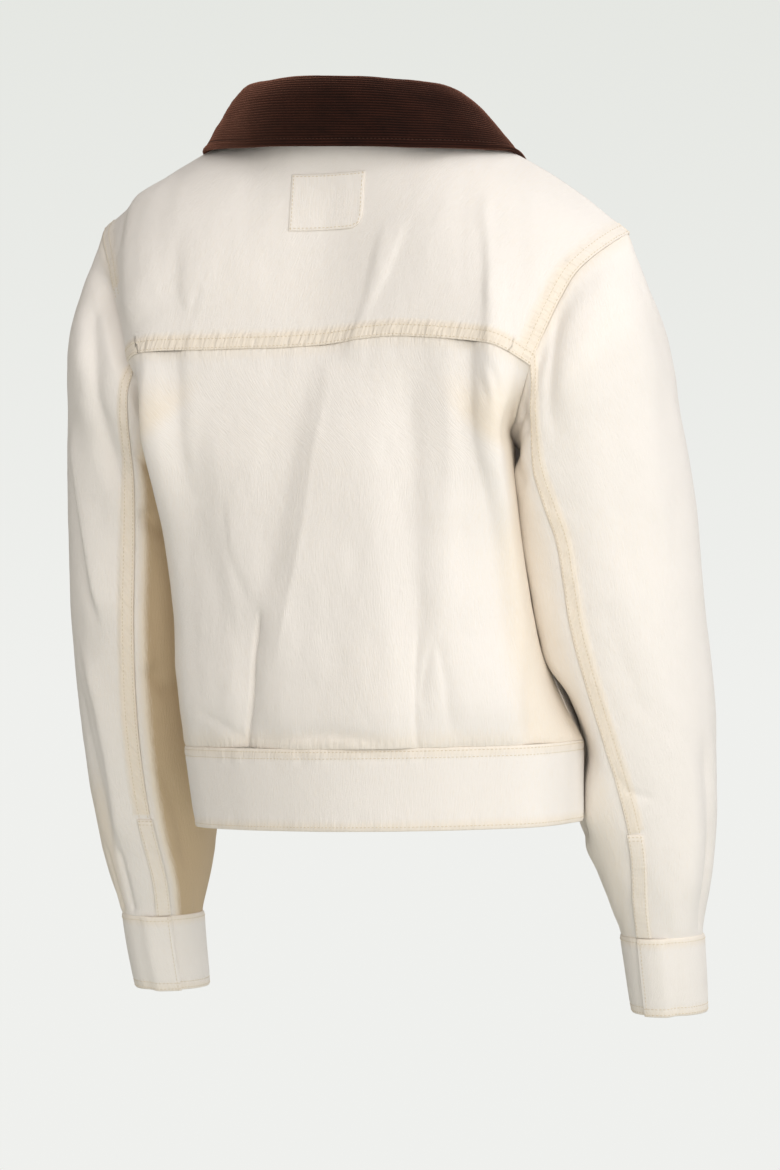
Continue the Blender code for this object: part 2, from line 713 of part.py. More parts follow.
def band_panel(panels):
    """The hem band: from the centre front round the right side and the back, its end over its start."""
    right, left = panels["front_right"].grid[0], panels["front_left"].grid[0]
    back = panels["back_panel"].grid[0]
    top = np.concatenate((right[::-1], back[1:], left[::-1][1:]))
    start = top[:2]
    reach = np.linalg.norm(start[1] - start[0])
    over = [start[0] + (start[1] - start[0]) * BAND_OVERLAP * part / reach for part in (0.5, 1.0)]
    top = np.concatenate((top, over))
    middle = top.mean(axis=0)
    levels = []
    for part in np.linspace(1, 0, BAND_LEVELS):
        ring = middle + (top - middle) * (1 - (1 - BAND_NARROWING) * part)
        ring[:, 2] = top[:, 2] - BAND_HEIGHT * part
        ring[:, 0] += HIP_SHIFT * BAND_HEIGHT / (SHIFT_FROM - HIP_LEVEL) * part
        levels.append(ring)
    panel = Panel(np.stack(levels), 1, DOUBLED)
    panel.grid += panel.normal * overlap_lift(len(top), DOUBLED, 3)[:, None]
    return panel


def front_placket(panels, made):
    """The strip over the meeting of the two fronts, from the neck to the band."""
    right, left = panels["front_right"], panels["front_left"]
    distances = np.array((0, PLACKET_HALF / 2, PLACKET_HALF))
    points, normal = [], []
    for row in range(len(left.grid)):
        p_right, n_right = along_row(right, row, distances, True)
        p_left, n_left = along_row(left, row, distances, False)
        points.append(np.concatenate((p_right[:0:-1], p_left)))
        normal.append(np.concatenate((n_right[:0:-1], n_left)))
    points, normal = np.stack(points), np.stack(normal)
    points[0] += (points[1] - points[0]) * PLACKET_FOOT_CLEAR
    points[-1] += (points[-2] - points[-1]) * PLACKET_NECK_CLEAR
    add_layer("front_placket", points, normal, LAY_GAP, TWILL, made)
    cover = Panel(points, -1)
    cover.normal = normal
    cover.raised[:] = LAY_GAP + TWILL
    return cover


def neck_patch(panels, made):
    """The blank patch sewn to the yoke under the collar, one lower corner rounded off."""
    across, up = np.linspace(-0.5, 0.5, 8), np.linspace(-0.5, 0.5, 9)
    tree = skin_tree([panels["back_yoke"]])
    points, normal = [], []
    for v in up:
        for u in across:
            x, z = -u * PATCH_WIDTH, v * PATCH_HEIGHT
            beyond = max(0.0, PATCH_CORNER - (0.5 - u) * PATCH_WIDTH)
            below = max(0.0, PATCH_CORNER - (0.5 + v) * PATCH_HEIGHT)
            pull = beyond * below / PATCH_CORNER * PATCH_CORNER_PULL
            x, z = x + pull, z + pull
            x, z = (x * math.cos(PATCH_TURN) - z * math.sin(PATCH_TURN),
                    x * math.sin(PATCH_TURN) + z * math.cos(PATCH_TURN))
            place = (x + PATCH_MIDDLE[0], 1.0, z + PATCH_MIDDLE[1])
            spot, facing, _, _ = tree.ray_cast(place, (0, -1, 0))
            points.append(spot)
            normal.append(facing)
    shape = (len(up), len(across), 3)
    patch = Panel(np.reshape(points, shape), -1)
    add_layer("neck_patch", patch.grid, patch.normal, LAY_GAP, PATCH_THICK, made)


def collar_line(stations, places):
    """A collar line given from the front end to the nape, mirrored, read at places from 0 to 8."""
    half = metres(stations)
    full = np.concatenate((half * (-1, 1, 1), half[-2::-1]))
    return lean(spline(np.arange(len(full)), full, places))


def collar_neckline(panels):
    """The neck seam from the right front end round the nape to the left, and the way up out of it."""
    right, left, yoke = panels["front_right"], panels["front_left"], panels["back_yoke"]
    middle = yoke.grid.shape[1] // 2
    nape = slice(middle - NECK_STEPS, middle + NECK_STEPS + 1)
    n = NECK_STEPS + 1

    def joined(values):
        return np.concatenate((
            values(right)[::-1][:n], values(yoke)[nape][1:-1], values(left)[:n][::-1],
        ))

    seam = joined(lambda panel: panel.grid[-1])
    facing = joined(lambda panel: panel.normal[-1])
    rise = joined(lambda panel: panel.grid[-1] - panel.grid[-2])
    rise /= np.linalg.norm(rise, axis=1, keepdims=True)
    seam[0] += (seam[1] - seam[0]) * COLLAR_END_STEP
    seam[-1] += (seam[-2] - seam[-1]) * COLLAR_END_STEP
    return seam - facing * TWILL / 2 + rise * SEAM_GAP, facing


def collar_surface(panels, cover):
    """Points of the folded collar: up the stand, over the fold and down the fall."""
    base, facing = collar_neckline(panels)
    places = np.linspace(0, 8, len(base))
    fold, edge = collar_line(FOLD_LINE, places), collar_line(FALL_EDGE, places)
    down = edge - fold
    down /= np.linalg.norm(down, axis=1, keepdims=True)
    level = down * (1, 1, 0)
    level /= np.linalg.norm(level, axis=1, keepdims=True)
    stand_top = fold - level * FOLD_HALF - np.array((0, 0, FOLD_DROP))
    stand = stand_top - base
    stand /= np.linalg.norm(stand, axis=1, keepdims=True)
    over_rim = np.abs((facing * stand).sum(axis=1, keepdims=True)) * TWILL / 2
    base += stand * (over_rim + SEAM_GAP)
    resting = skin_tree([panels["back_yoke"], panels["front_left"], panels["front_right"], cover])
    outward = np.cross(stand, np.gradient(base, axis=0))
    outward *= (LAY_GAP / 2 + UNDER_THICK) / np.linalg.norm(outward, axis=1, keepdims=True)
    corner = (base + outward)[None]
    base += (settle(corner.copy(), resting, SEAM_GAP) - corner)[0]
    fall_top = fold + level * FOLD_HALF + down * FOLD_DROP
    face = np.cross(down, np.gradient(edge, axis=0))
    face /= -np.linalg.norm(face, axis=1, keepdims=True)
    middle = (fall_top + edge) / 2 + face * FALL_BULGE
    controls = np.stack((base, (base + stand_top) / 2, stand_top, fold, fall_top, middle, edge))
    lengths = np.linalg.norm(np.diff(controls, axis=0), axis=2)
    lines = []
    for c in range(len(base)):
        knots = np.concatenate(([0], np.cumsum(lengths[:, c])))
        lines.append(spline(knots, controls[:, c], np.interp(COLLAR_ROWS, np.arange(7), knots)))
    grid = np.stack(lines, axis=1)
    grid[-FALL_ROWS:] = settle(grid[-FALL_ROWS:], resting, COLLAR_CLEAR)
    return grid


def add_ribbed_wall(name, skin, back, plain_rows, made):
    """A wall whose skin has more rows than its back beyond the plain rows that they share."""
    rows, columns = skin.shape[:2]
    back_rows = back.shape[0]
    points = np.concatenate((skin.reshape(-1, 3), back.reshape(-1, 3)))
    offset = rows * columns
    faces = []
    faces += grid_quads(plain_rows, columns)
    for r in range(plain_rows - 1, rows - 1):
        for c in range(columns - 1):
            a = r * columns + c
            faces.append((a, a + 1, a + 1 + columns, a + columns))
    for quad in grid_quads(back_rows, columns):
        faces.append(tuple(quad[i] + offset for i in (0, 3, 2, 1)))
    for c in range(columns - 1):
        faces.append((c, offset + c, offset + c + 1, c + 1))
        a, b = (rows - 1) * columns + c, offset + (back_rows - 1) * columns + c
        faces.append((a, a + 1, b + 1, b))
    for c, turned in ((0, False), (columns - 1, True)):
        i = j = 0
        runs = []
        for grid in (skin, back):
            run = np.concatenate(([0], np.cumsum(np.linalg.norm(np.diff(grid[:, c], axis=0), axis=1))))
            runs.append(run / run[-1])
        while i < rows - 1 or j < back_rows - 1:
            a, b = i * columns + c, offset + j * columns + c
            skin_next = j == back_rows - 1 or (i < rows - 1 and runs[0][i + 1] <= runs[1][j + 1])
            face = (a, a + columns, b) if skin_next else (a, b + columns, b)
            i, j = (i + 1, j) if skin_next else (i, j + 1)
            faces.append(face[::-1] if turned else face)
    return add_mesh(name, points, faces, made)


def build_collar(panels, cover, made):
    """The corduroy collar: an outer layer with raised wales over a plain under layer."""
    coarse = collar_surface(panels, cover)
    layer = Panel(coarse, -1)
    plain_rows = len(coarse) - FALL_ROWS
    rows = np.arange(len(coarse))
    at = np.concatenate((rows[:plain_rows], np.linspace(plain_rows, rows[-1], 2 * WALES + 1)))
    half = LAY_GAP / 2
    wale = np.zeros(len(at))
    wale[plain_rows + 1::2] = WALE_RISE
    outer = coarse + layer.normal * (half + CORDUROY)
    skin = np.stack([spline(rows, outer[:, c], at) for c in range(outer.shape[1])], axis=1)
    raised = wale[:, None] * np.ones(skin.shape[1])
    raised[:, (0, -1)] = 0
    skin += Panel(skin, -1).normal * raised[..., None]
    add_ribbed_wall("collar_upper", skin, coarse + layer.normal * half, plain_rows, made)
    add_wall("collar_under", coarse - layer.normal * half, coarse - layer.normal * (half + UNDER_THICK), made)


def add_button(name, spot, facing, made):
    """A turned button with a low rim and a dished middle, 0.3 mm off the cloth."""
    profile = metres(BUTTON_PROFILE)
    up = np.array((0.0, 0, 1))
    side = np.cross(up, facing)
    side /= np.linalg.norm(side)
    up = np.cross(facing, side)
    points = [spot + facing * (LAY_GAP + profile[0][1])]
    for radius, height in profile[1:-1]:
        for k in range(BUTTON_SIDES):
            angle = 2 * math.pi * k / BUTTON_SIDES
            points.append(spot + facing * (LAY_GAP + height)
                          + (side * math.cos(angle) + up * math.sin(angle)) * radius)
    points.append(spot + facing * (LAY_GAP + profile[-1][1]))
    last = len(points) - 1
    faces = []
    for k in range(BUTTON_SIDES):
        j = (k + 1) % BUTTON_SIDES
        faces.append((0, 1 + j, 1 + k))
        for ring in range(len(profile) - 3):
            a = 1 + ring * BUTTON_SIDES
            faces.append((a + k, a + j, a + BUTTON_SIDES + j, a + BUTTON_SIDES + k))
        a = 1 + (len(profile) - 3) * BUTTON_SIDES
        faces.append((a + k, a + j, last))
    return add_mesh(name, points, faces, made)


def build_buttons(cover, band, made):
    middle = cover.grid.shape[1] // 2
    line, facing = cover.grid[:, middle], cover.normal[:, middle]
    for n, level in enumerate(BUTTON_LEVELS):
        spot = np.array([np.interp(level, line[:, 2], line[:, k]) for k in range(3)])
        out = np.array([np.interp(level, line[:, 2], facing[:, k]) for k in range(3)])
        out /= np.linalg.norm(out)
        add_button(f"button_{n + 1}", spot + out * (LAY_GAP + TWILL), out, made)
    middle_level = band.grid.shape[0] // 2
    add_button("band_button", band.grid[middle_level, -3], band.normal[middle_level, -3], made)


def main():
    cream = material("cream_twill", (0.86, 0.82, 0.74), 0.85)
    brown = material("brown_corduroy", (0.045, 0.022, 0.016), 0.9)
    button = material("button", (0.12, 0.075, 0.05), 0.35)
    panels, low = body_panels()
    panels["hem_band"] = band_panel(panels)
    for side in (-1, 1):
        panels.update(sleeve_panels(panels, low, side))
    raise_fells(panels, low)
    panels["cuff_right"], panels["cuff_left"] = cuff_panel(-1), cuff_panel(1)
    share_normals(list(panels.values()))
    for word in ("left", "right"):
        level_rim(panels[f"cuff_{word}"], 0)
        level_rim(panels[f"sleeve_top_{word}"], -1)
        level_rim(panels[f"sleeve_under_{word}"], -1)
    for name, panel in panels.items():
        loose = ("bottom", "start", "end") if name == "hem_band" else ("top", "start", "end")
        add_panel(name, panel, cream, loose if name == "hem_band" or "cuff" in name else ())
    cover = front_placket(panels, cream)
    for side in (-1, 1):
        sleeve_placket(panels, side, cream)
    neck_patch(panels, cream)
    build_collar(panels, cover, brown)
    build_buttons(cover, panels["hem_band"], button)


main()
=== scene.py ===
import math

import bpy
import numpy as np
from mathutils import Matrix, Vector
from mathutils.bvhtree import BVHTree
from mathutils.kdtree import KDTree


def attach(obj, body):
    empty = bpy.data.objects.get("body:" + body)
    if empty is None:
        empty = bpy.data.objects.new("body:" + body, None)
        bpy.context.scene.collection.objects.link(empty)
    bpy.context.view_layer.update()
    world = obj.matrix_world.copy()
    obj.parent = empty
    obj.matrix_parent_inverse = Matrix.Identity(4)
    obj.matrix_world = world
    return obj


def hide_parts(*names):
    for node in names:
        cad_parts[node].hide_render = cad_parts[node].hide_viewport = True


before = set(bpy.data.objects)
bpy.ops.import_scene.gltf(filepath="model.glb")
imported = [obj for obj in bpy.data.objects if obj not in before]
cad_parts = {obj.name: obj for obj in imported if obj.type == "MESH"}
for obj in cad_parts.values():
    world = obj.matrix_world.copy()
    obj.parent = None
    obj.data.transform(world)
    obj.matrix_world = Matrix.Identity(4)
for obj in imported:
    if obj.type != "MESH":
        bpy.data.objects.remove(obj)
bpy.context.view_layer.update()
print("frame loaded,", len(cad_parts), "nodes")

mm = 0.001

# How the jacket stands as worn: lengths and levels in mm, a pair is where something starts and is full
stance = {
    "hipShift": -27, "hipLevel": -500, "shiftFrom": -120, "shiftMost": 1.15,
    "shoulderTilt": 0.030, "hipTilt": -0.030,
    "nipped": 9, "nipAcross": (105, 150), "nipBelow": (-198, -243), "nipAbove": (-470, -300),
}
cloth = {"thick": 1.2, "doubled": 2.0, "spacing": 2.6, "closest": 0.4, "layGap": 0.3}
meeting = {"touch": 0.6 * mm, "alike": 0.85, "reach": 14 * mm}
resting = {"reach": 0.022, "aside": 3 * mm, "rounds": 3, "share": 0.6}


def metres(points):
    return np.array(points, float) * mm


def unit(vectors):
    return vectors / np.linalg.norm(vectors, axis=-1, keepdims=True)


def smooth(x):
    x = np.clip(x, 0, 1)
    return x * x * (3 - 2 * x)


def ramp(value, start, full):
    return smooth((value - start) / (full - start))


def running(points):  # the length run at each row, of one line or the mean of lines side by side
    lengths = np.linalg.norm(np.diff(points, axis=0), axis=-1)
    if lengths.ndim > 1:
        lengths = lengths.mean(axis=1)
    return np.concatenate(([0], np.cumsum(lengths)))


def readAt(places, run, line):
    return np.stack([np.interp(places, run, line[..., k]) for k in range(3)], axis=-1)


def spline(knots, values, at):
    values = np.asarray(values, float)
    shape = values.shape[1:]
    values = values.reshape(len(values), -1)
    step = np.diff(knots)[:, None]
    rise = np.diff(values, axis=0) / step
    slope = np.empty_like(values)
    slope[1:-1] = (rise[:-1] * step[1:] + rise[1:] * step[:-1]) / (step[1:] + step[:-1])
    slope[0] = 1.5 * rise[0] - 0.5 * slope[1]
    slope[-1] = 1.5 * rise[-1] - 0.5 * slope[-2]
    i = np.clip(np.searchsorted(knots, at, side="right") - 1, 0, len(knots) - 2)
    h = step[i]
    t = (at - knots[i])[:, None] / h
    out = (2 * t**3 - 3 * t**2 + 1) * values[i] + (t**3 - 2 * t**2 + t) * h * slope[i]
    out += (3 * t**2 - 2 * t**3) * values[i + 1] + (t**3 - t**2) * h * slope[i + 1]
    return out.reshape((len(at),) + shape)


def respaced(lines, rows):  # lines of points, each read again at rows between its own
    out = []
    for c in range(lines.shape[1]):
        run = running(lines[:, c])
        out.append(spline(run, lines[:, c], np.interp(rows, np.arange(len(run)), run)))
    return np.stack(out, axis=1)


def halvesOf(count):
    return np.linspace(0, count, count * 2 + 1)


def sectionGrid(sections, up, across):
    half = metres(sections)
    full = np.concatenate((half[:, :0:-1] * (-1, 1, 1), half), axis=1)
    run = running(half)
    lines = spline(run, full, np.interp(up, np.arange(len(run)), run))
    stations = np.linspace(-1, 1, full.shape[1])
    return np.stack([spline(stations, row, across) for row in lines])


def lean(points):  # the foot of the body shifted aside, one shoulder and one side of the hem lower
    out = np.array(points, float)
    z = out[..., 2].copy()
    top, low = stance["shiftFrom"] * mm, stance["hipLevel"] * mm
    down = ramp(z, top, low)
    out[..., 2] += out[..., 0] * (stance["shoulderTilt"] * (1 - down) + stance["hipTilt"] * down)
    out[..., 0] += stance["hipShift"] * mm * np.clip((top - z) / (top - low), 0, stance["shiftMost"])
    return out


def nip(points):  # the right side is drawn in below the armhole
    out = points.copy()
    x, z = points[..., 0] / mm, points[..., 2] / mm
    drawn = ramp(-x, *stance["nipAcross"]) * ramp(z, *stance["nipBelow"]) * ramp(z, *stance["nipAbove"])
    out[..., 0] += stance["nipped"] * mm * drawn
    return out


class Cloth:  # a piece of cloth: its grid, the way it faces, and each point's distance in from its edges
    def __init__(self, grid, turn, thick=cloth["thick"] * mm, normal=None):
        self.grid, self.turn, self.thick, self.normal = grid, turn, thick, normal
        if normal is None:
            self.normal = unit(np.cross(np.gradient(grid, axis=0), np.gradient(grid, axis=1)) * turn)
        across = np.linalg.norm(np.diff(grid, axis=1), axis=2)
        up = np.linalg.norm(np.diff(grid, axis=0), axis=2)
        u = np.pad(np.cumsum(across, axis=1), ((0, 0), (1, 0)))
        v = np.pad(np.cumsum(up, axis=0), ((1, 0), (0, 0)))
        self.dist = {"start": u, "end": u[:, -1:] - u, "bottom": v, "top": v[-1:] - v}
        self.uv = np.stack((u, v), axis=2)
        self.seam = self.uv.copy()  # the way along and across the nearest seam
        self.rise, self.mark, self.ruck = (np.zeros(u.shape) for _ in range(3))

    def rim(self):
        edge = np.ones(self.grid.shape[:2], bool)
        edge[1:-1, 1:-1] = False
        return edge

    def near(self, *edges):
        return np.minimum.reduce([self.dist[edge] for edge in edges])

    def skin(self):
        return self.grid + self.normal * self.rise[..., None]

    def stainAndShade(self, *amounts):  # yellower there: the seams' own yellowing, and painted shade where a caller gives it
        self.mark = np.maximum.reduce([self.mark, *amounts])

    def seamBy(self, edge, reach=20 * mm):  # by this edge the seam runs up the piece
        near = self.dist[edge] < reach
        self.seam[near] = np.stack((self.dist["bottom"], self.dist[edge]), axis=2)[near]


def shareNormals(pieces):  # pieces that meet at a seam face the same way there
    rims = [piece.rim() for piece in pieces]
    spots = np.concatenate([piece.grid[rim] for piece, rim in zip(pieces, rims)])
    facing = np.concatenate([piece.normal[rim] for piece, rim in zip(pieces, rims)])
    tree = KDTree(len(spots))
    for i, spot in enumerate(spots):
        tree.insert(spot, i)
    tree.balance()
    halved, turned = np.empty_like(facing), np.empty_like(facing)
    for i, spot in enumerate(spots):
        near = facing[[j for _, j, _ in tree.find_range(spot, meeting["touch"])]]
        alike = (near @ near.T > meeting["alike"]).sum(axis=1)
        halved[i] = (near / alike[:, None]).sum(axis=0)
    halved = unit(halved)
    for i, spot in enumerate(spots):
        found = tree.find_range(spot, meeting["reach"])
        weight = np.array([1 - away / meeting["reach"] for _, _, away in found])
        turned[i] = (halved[[j for _, j, _ in found]] * weight[:, None]).sum(axis=0)
    turned = unit(turned)
    first = 0
    for piece, rim in zip(pieces, rims):
        piece.normal[rim] = turned[first:first + int(rim.sum())]
        first += int(rim.sum())


def placesAlong(length, spacing, near):  # even places, closer by each edge and in any stretch asked for
    fixed = [d * mm for d in near[0]] + [length - d * mm for d in near[1]] + [0, length]
    for first, last, step in near[2:]:
        fixed += list(np.arange(first, last, step) * mm)
    even = np.linspace(0, length, int(round(length / (spacing * mm))) + 1)
    even = [e for e in even if min(abs(e - f) for f in fixed) > cloth["closest"] * spacing * mm]
    return np.array(sorted(set(even + fixed)))


def refine(piece, spacing=cloth["spacing"], rowsNear=((), ()), columnsNear=((), ())):
    both = np.concatenate((piece.grid, piece.normal), axis=2)
    for axis, near in ((0, rowsNear), (1, columnsNear)):
        view = np.moveaxis(both, axis, 0)
        run = running(view[..., :3])
        both = np.moveaxis(spline(run, view, placesAlong(run[-1], spacing, near)), 0, axis)
    return Cloth(both[..., :3], piece.turn, piece.thick, unit(both[..., 3:]))


# Soft relief, all seeded: folds, felled bands, puckers and crumple
foldShape = {"fadeIn": 0.25, "fadeOut": 0.2, "power": 1.7}
felling = {"width": 11, "rise": 1.25, "lip": 0.8, "lipFrom": 0.45, "fall": 1.3, "rows": (1.8, 9), "pucker": 9}
puckerShape = {"slants": (0.25, -0.4), "finer": 0.55, "finerShare": 0.5, "beyond": 0.7, "beyondFrom": 3}


def noiseLine(s, pitch, seed):
    table = np.random.RandomState(seed).uniform(-1, 1, 997)
    place = s / pitch
    i = np.floor(place).astype(int)
    t = smooth(place - i)
    return table[i % len(table)] * (1 - t) + table[(i + 1) % len(table)] * t


def noiseField(a, b, pitchA, pitchB, seed):
    table = np.random.RandomState(seed).uniform(-1, 1, (211, 211))
    i, j = np.floor(a / pitchA).astype(int), np.floor(b / pitchB).astype(int)
    s, t = smooth(a / pitchA - i), smooth(b / pitchB - j)
    i0, i1, j0, j1 = (k % len(table) for k in (i, i + 1, j, j + 1))
    low = table[i0, j0] * (1 - s) + table[i1, j0] * s
    high = table[i0, j1] * (1 - s) + table[i1, j1] * s
    return low * (1 - t) + high * t


def crumple(a, b, *layers):  # layers of rise, two pitches and a seed
    return mm * sum(rise * noiseField(a, b, *pitchesAndSeed) for rise, *pitchesAndSeed in layers)


def foldRise(a, b, folds, mirror=1):
    height = np.zeros(a.shape)
    for left, right, rise, *route in folds:
        line = np.reshape(route, (-1, 2)).astype(float)
        run = running(line)
        if len(line) > 2:  # a bent fold is rounded
            line = spline(run, line, np.linspace(0, run[-1], 3 * len(line)))
            run = running(line)
        best = np.full(a.shape, np.inf)
        along, side = np.zeros(a.shape), np.zeros(a.shape)
        for p, d, before, after in zip(line, np.diff(line, axis=0), run, run[1:]):
            t = np.clip(((a - p[0]) * d[0] + (b - p[1]) * d[1]) / (d @ d), 0, 1)
            da, db = a - p[0] - t * d[0], b - p[1] - t * d[1]
            near = np.hypot(da, db) < best
            best = np.where(near, np.hypot(da, db), best)
            along = np.where(near, (before + t * (after - before)) / run[-1], along)
            side = np.where(near, np.sign(d[0] * db - d[1] * da), side)
        taper = smooth(along / foldShape["fadeIn"]) * smooth((1 - along) / foldShape["fadeOut"])
        reach = np.where(side * mirror > 0, left, right)
        height += rise * taper * np.exp(-(best / reach) ** foldShape["power"])
    return height * mm


def seamTone(dist, width=felling["width"], soft=4):  # full from the edge to the width, then fading
    return 1 - smooth((dist / mm - width) / soft)


def fell(dist):  # a felled band's raised profile
    return felling["rise"] * mm * smooth(dist / mm / felling["lip"] + felling["lipFrom"]) \
        * seamTone(dist, soft=felling["fall"])


def groove(dist, depth=0.7, width=1.7):  # the lower piece sinks where a felled edge lies over it
    return -depth * mm * np.exp(-(dist / mm / width) ** 2)


def puckers(dist, s, depth, pitch, reach, seed, band=felling["width"]):
    d, s, shape = dist / mm, s / mm, puckerShape
    forward, backward = (s + slant * d for slant in shape["slants"])
    ripple = noiseLine(forward, pitch, seed)
    ripple = ripple + shape["finerShare"] * noiseLine(backward, pitch * shape["finer"], seed + 1)
    inBand = np.sin(np.pi * np.clip((d - 1.0) / (band - 1.5), 0, 1))
    beyond = np.exp(-np.clip(d - band, 0, None) / reach) * smooth((d - band) / shape["beyondFrom"])
    return depth * mm * ripple * (inBand + shape["beyond"] * beyond)


def stitchDip(dist, places, depth=0.4, width=1.1):  # the cloth pulled in under a row of stitches
    return -depth * mm * sum(np.exp(-((dist / mm - p) / width) ** 2) for p in places)


def felledEdge(band, s, depth, seed, reach=8):
    pucker = puckers(band, s, depth, felling["pucker"], reach, seed)
    return fell(band) + pucker + stitchDip(band, felling["rows"])


def smoothed(field):  # evened out over its neighbours, for the cloth's inside
    for _ in range(3):
        padded = np.pad(field, 1, mode="edge")
        field = (padded[:-2, 1:-1] + padded[2:, 1:-1] + padded[1:-1, :-2] + padded[1:-1, 2:]) / 4
    return field


class Shade:  # a material, with short ways to add its nodes
    def __init__(self, name, roughness, sheen=0.0, specular=0.25):
        self.made = bpy.data.materials.new(name)
        self.made.use_nodes = True
        self.nodes, self.links = self.made.node_tree.nodes, self.made.node_tree.links
        self.inputs = self.nodes["Principled BSDF"].inputs
        self.inputs["Roughness"].default_value = roughness
        self.inputs["Specular IOR Level"].default_value = specular
        self.inputs["Sheen Weight"].default_value = sheen
        if sheen:
            self.inputs["Sheen Roughness"].default_value = 0.45
        self.place = self.node("ShaderNodeTexCoord").outputs["Object"]

    def node(self, kind, *inputs, **named):
        node = self.nodes.new(kind)
        sockets = list(zip(node.inputs, inputs)) + [(node.inputs[key], value) for key, value in named.items()]
        for socket, value in sockets:
            if isinstance(value, bpy.types.NodeSocket):
                self.links.new(value, socket)
            else:
                socket.default_value = value
        return node

    def math(self, operation, *values):
        node = self.node("ShaderNodeMath", *values)
        node.operation = operation
        return node.outputs[0]

    def add(self, *values):
        return self.math("ADD", *values)

    def times(self, *values):
        return self.math("MULTIPLY", *values)

    def noise(self, vector, scale, detail=2.0, rough=0.5):
        node = self.node("ShaderNodeTexNoise", Vector=vector, Scale=scale, Detail=detail, Roughness=rough)
        return node.outputs["Fac"]

    def stretched(self, vector, scales):
        node = self.node("ShaderNodeVectorMath", vector, scales)
        node.operation = "MULTIPLY"
        return node.outputs[0]

    def attribute(self, name):
        node = self.node("ShaderNodeAttribute")
        node.attribute_name = name
        return node.outputs

    def colour(self, value, *stops):
        self.links.new(rampNode(self.nodes, self.links, value, stops), self.inputs["Base Color"])

    def bump(self, height, distance, strength, before=None):
        node = self.node("ShaderNodeBump", Height=height, Distance=distance, Strength=strength)
        if before:
            self.links.new(before, node.inputs["Normal"])
        return node.outputs["Normal"]

    def relief(self, *bump):
        self.links.new(self.bump(*bump), self.inputs["Normal"])
        return self.made


def rampNode(nodes, links, value, stops):
    node = nodes.new("ShaderNodeValToRGB")
    band = node.color_ramp
    for n, (place, colour) in enumerate(stops):
        spot = band.elements[n] if n < 2 else band.elements.new(place)
        spot.position = place
        spot.color = (*colour, 1)
    links.new(value, node.inputs["Fac"])
    return node.outputs["Color"]


# The twill's noise scales are for each metre, its bumps a distance and a strength
twill = {
    # body is the cloth's own colour; warm is both the seams' own yellowing and painted shade; deep is painted
    # shade, reached under the left arm
    "body": (0.885, 0.842, 0.797), "warm": (0.88, 0.785, 0.66), "deep": (0.58, 0.445, 0.285),
    "pitch": 0.75, "slant": 1.4, "wobble": (260.0, 0.0005), "slub": (900.0, 110.0, 0.0), "slubRise": 1.6,
    "pucker": (300.0, 55.0, 0.0), "worn": 40.0, "patches": 9.0,
    "wornBump": (0.0012, 0.5), "slubBump": (0.00045, 0.8), "puckerBump": (0.0018, 1.0),
    "ribBump": (0.00012, 0.45),
    "markTone": 0.4, "patchTone": 0.22, "slubTone": 0.45,
}


def twillMaterial(name):
    made = Shade(name, 0.9, 0.12)
    uvMap = made.node("ShaderNodeUVMap")
    uvMap.uv_map = "UVMap"
    uv = uvMap.outputs[0]
    split = made.node("ShaderNodeSeparateXYZ", uv).outputs
    # the twill's diagonal ribs, and uneven threads
    scale, wobble = twill["wobble"]
    diagonal = made.add(split[0], made.times(split[1], twill["slant"]))
    diagonal = made.add(diagonal, made.times(made.noise(made.place, scale), wobble))
    rib = made.math("SINE", made.times(diagonal, 2 * math.pi / (twill["pitch"] * mm)))
    slub = made.noise(made.stretched(uv, twill["slub"]), 1.0, 3.0, 0.6)
    height = made.add(rib, made.times(slub, twill["slubRise"]))
    soft = made.bump(made.noise(made.place, twill["worn"], 4.0, 0.6), *twill["wornBump"])
    soft = made.bump(slub, *twill["slubBump"], soft)
    # the small puckers drawn up by the stitching, across each seam
    seam = made.attribute("seam")["Vector"]
    pucker = made.noise(made.stretched(seam, twill["pucker"]), 1.0, 1.0, 0.4)
    depth = made.node("ShaderNodeSeparateXYZ", seam).outputs[2]
    pucker = made.times(made.math("SUBTRACT", pucker, 0.5), depth)
    soft = made.bump(pucker, *twill["puckerBump"], soft)
    # yellower at the seams by their own yellowing, painted shade under and beside the arms and above the left
    # cuff, and faint uneven patches
    patches = made.math("SUBTRACT", made.noise(made.place, twill["patches"], 3.0), 0.45)
    tone = made.times(made.attribute("mark")["Fac"], twill["markTone"])
    tone = made.add(tone, made.times(patches, twill["patchTone"]))
    tone = made.add(tone, made.times(made.math("SUBTRACT", slub, 0.5), twill["slubTone"]))
    made.colour(tone, (0.0, twill["body"]), (0.5, twill["warm"]), (1.0, twill["deep"]))
    return made.relief(height, *twill["ribBump"], soft)


def corduroyMaterial(name):
    made = Shade(name, 0.9, 1.0, 0.1)
    made.inputs["Sheen Tint"].default_value = (0.5, 0.22, 0.15, 1)
    pile = made.noise(made.place, 1400.0, 3.0, 0.7)
    nap = made.noise(made.place, 55.0, 4.0, 0.6)
    # the mark carries painted shade, darker in the wale grooves and lighter on the crests; nap and pile are
    # the pile's own uneven tone
    tone = made.add(made.times(made.attribute("mark")["Fac"], 0.75), made.times(nap, 0.3))
    tone = made.add(tone, made.times(pile, 0.25))
    made.colour(tone, (0.3, (0.0010, 0.0004, 0.0003)), (1.0, (0.030, 0.0078, 0.0042)))
    return made.relief(pile, 0.0004, 0.8)


def plainMaterial(name, dark, light, roughness, scale, bump):
    made = Shade(name, roughness)
    grain = made.noise(made.place, scale, 3.0)
    made.colour(grain, (0.3, dark), (0.75, light))
    return made.relief(grain, 0.0003, bump)


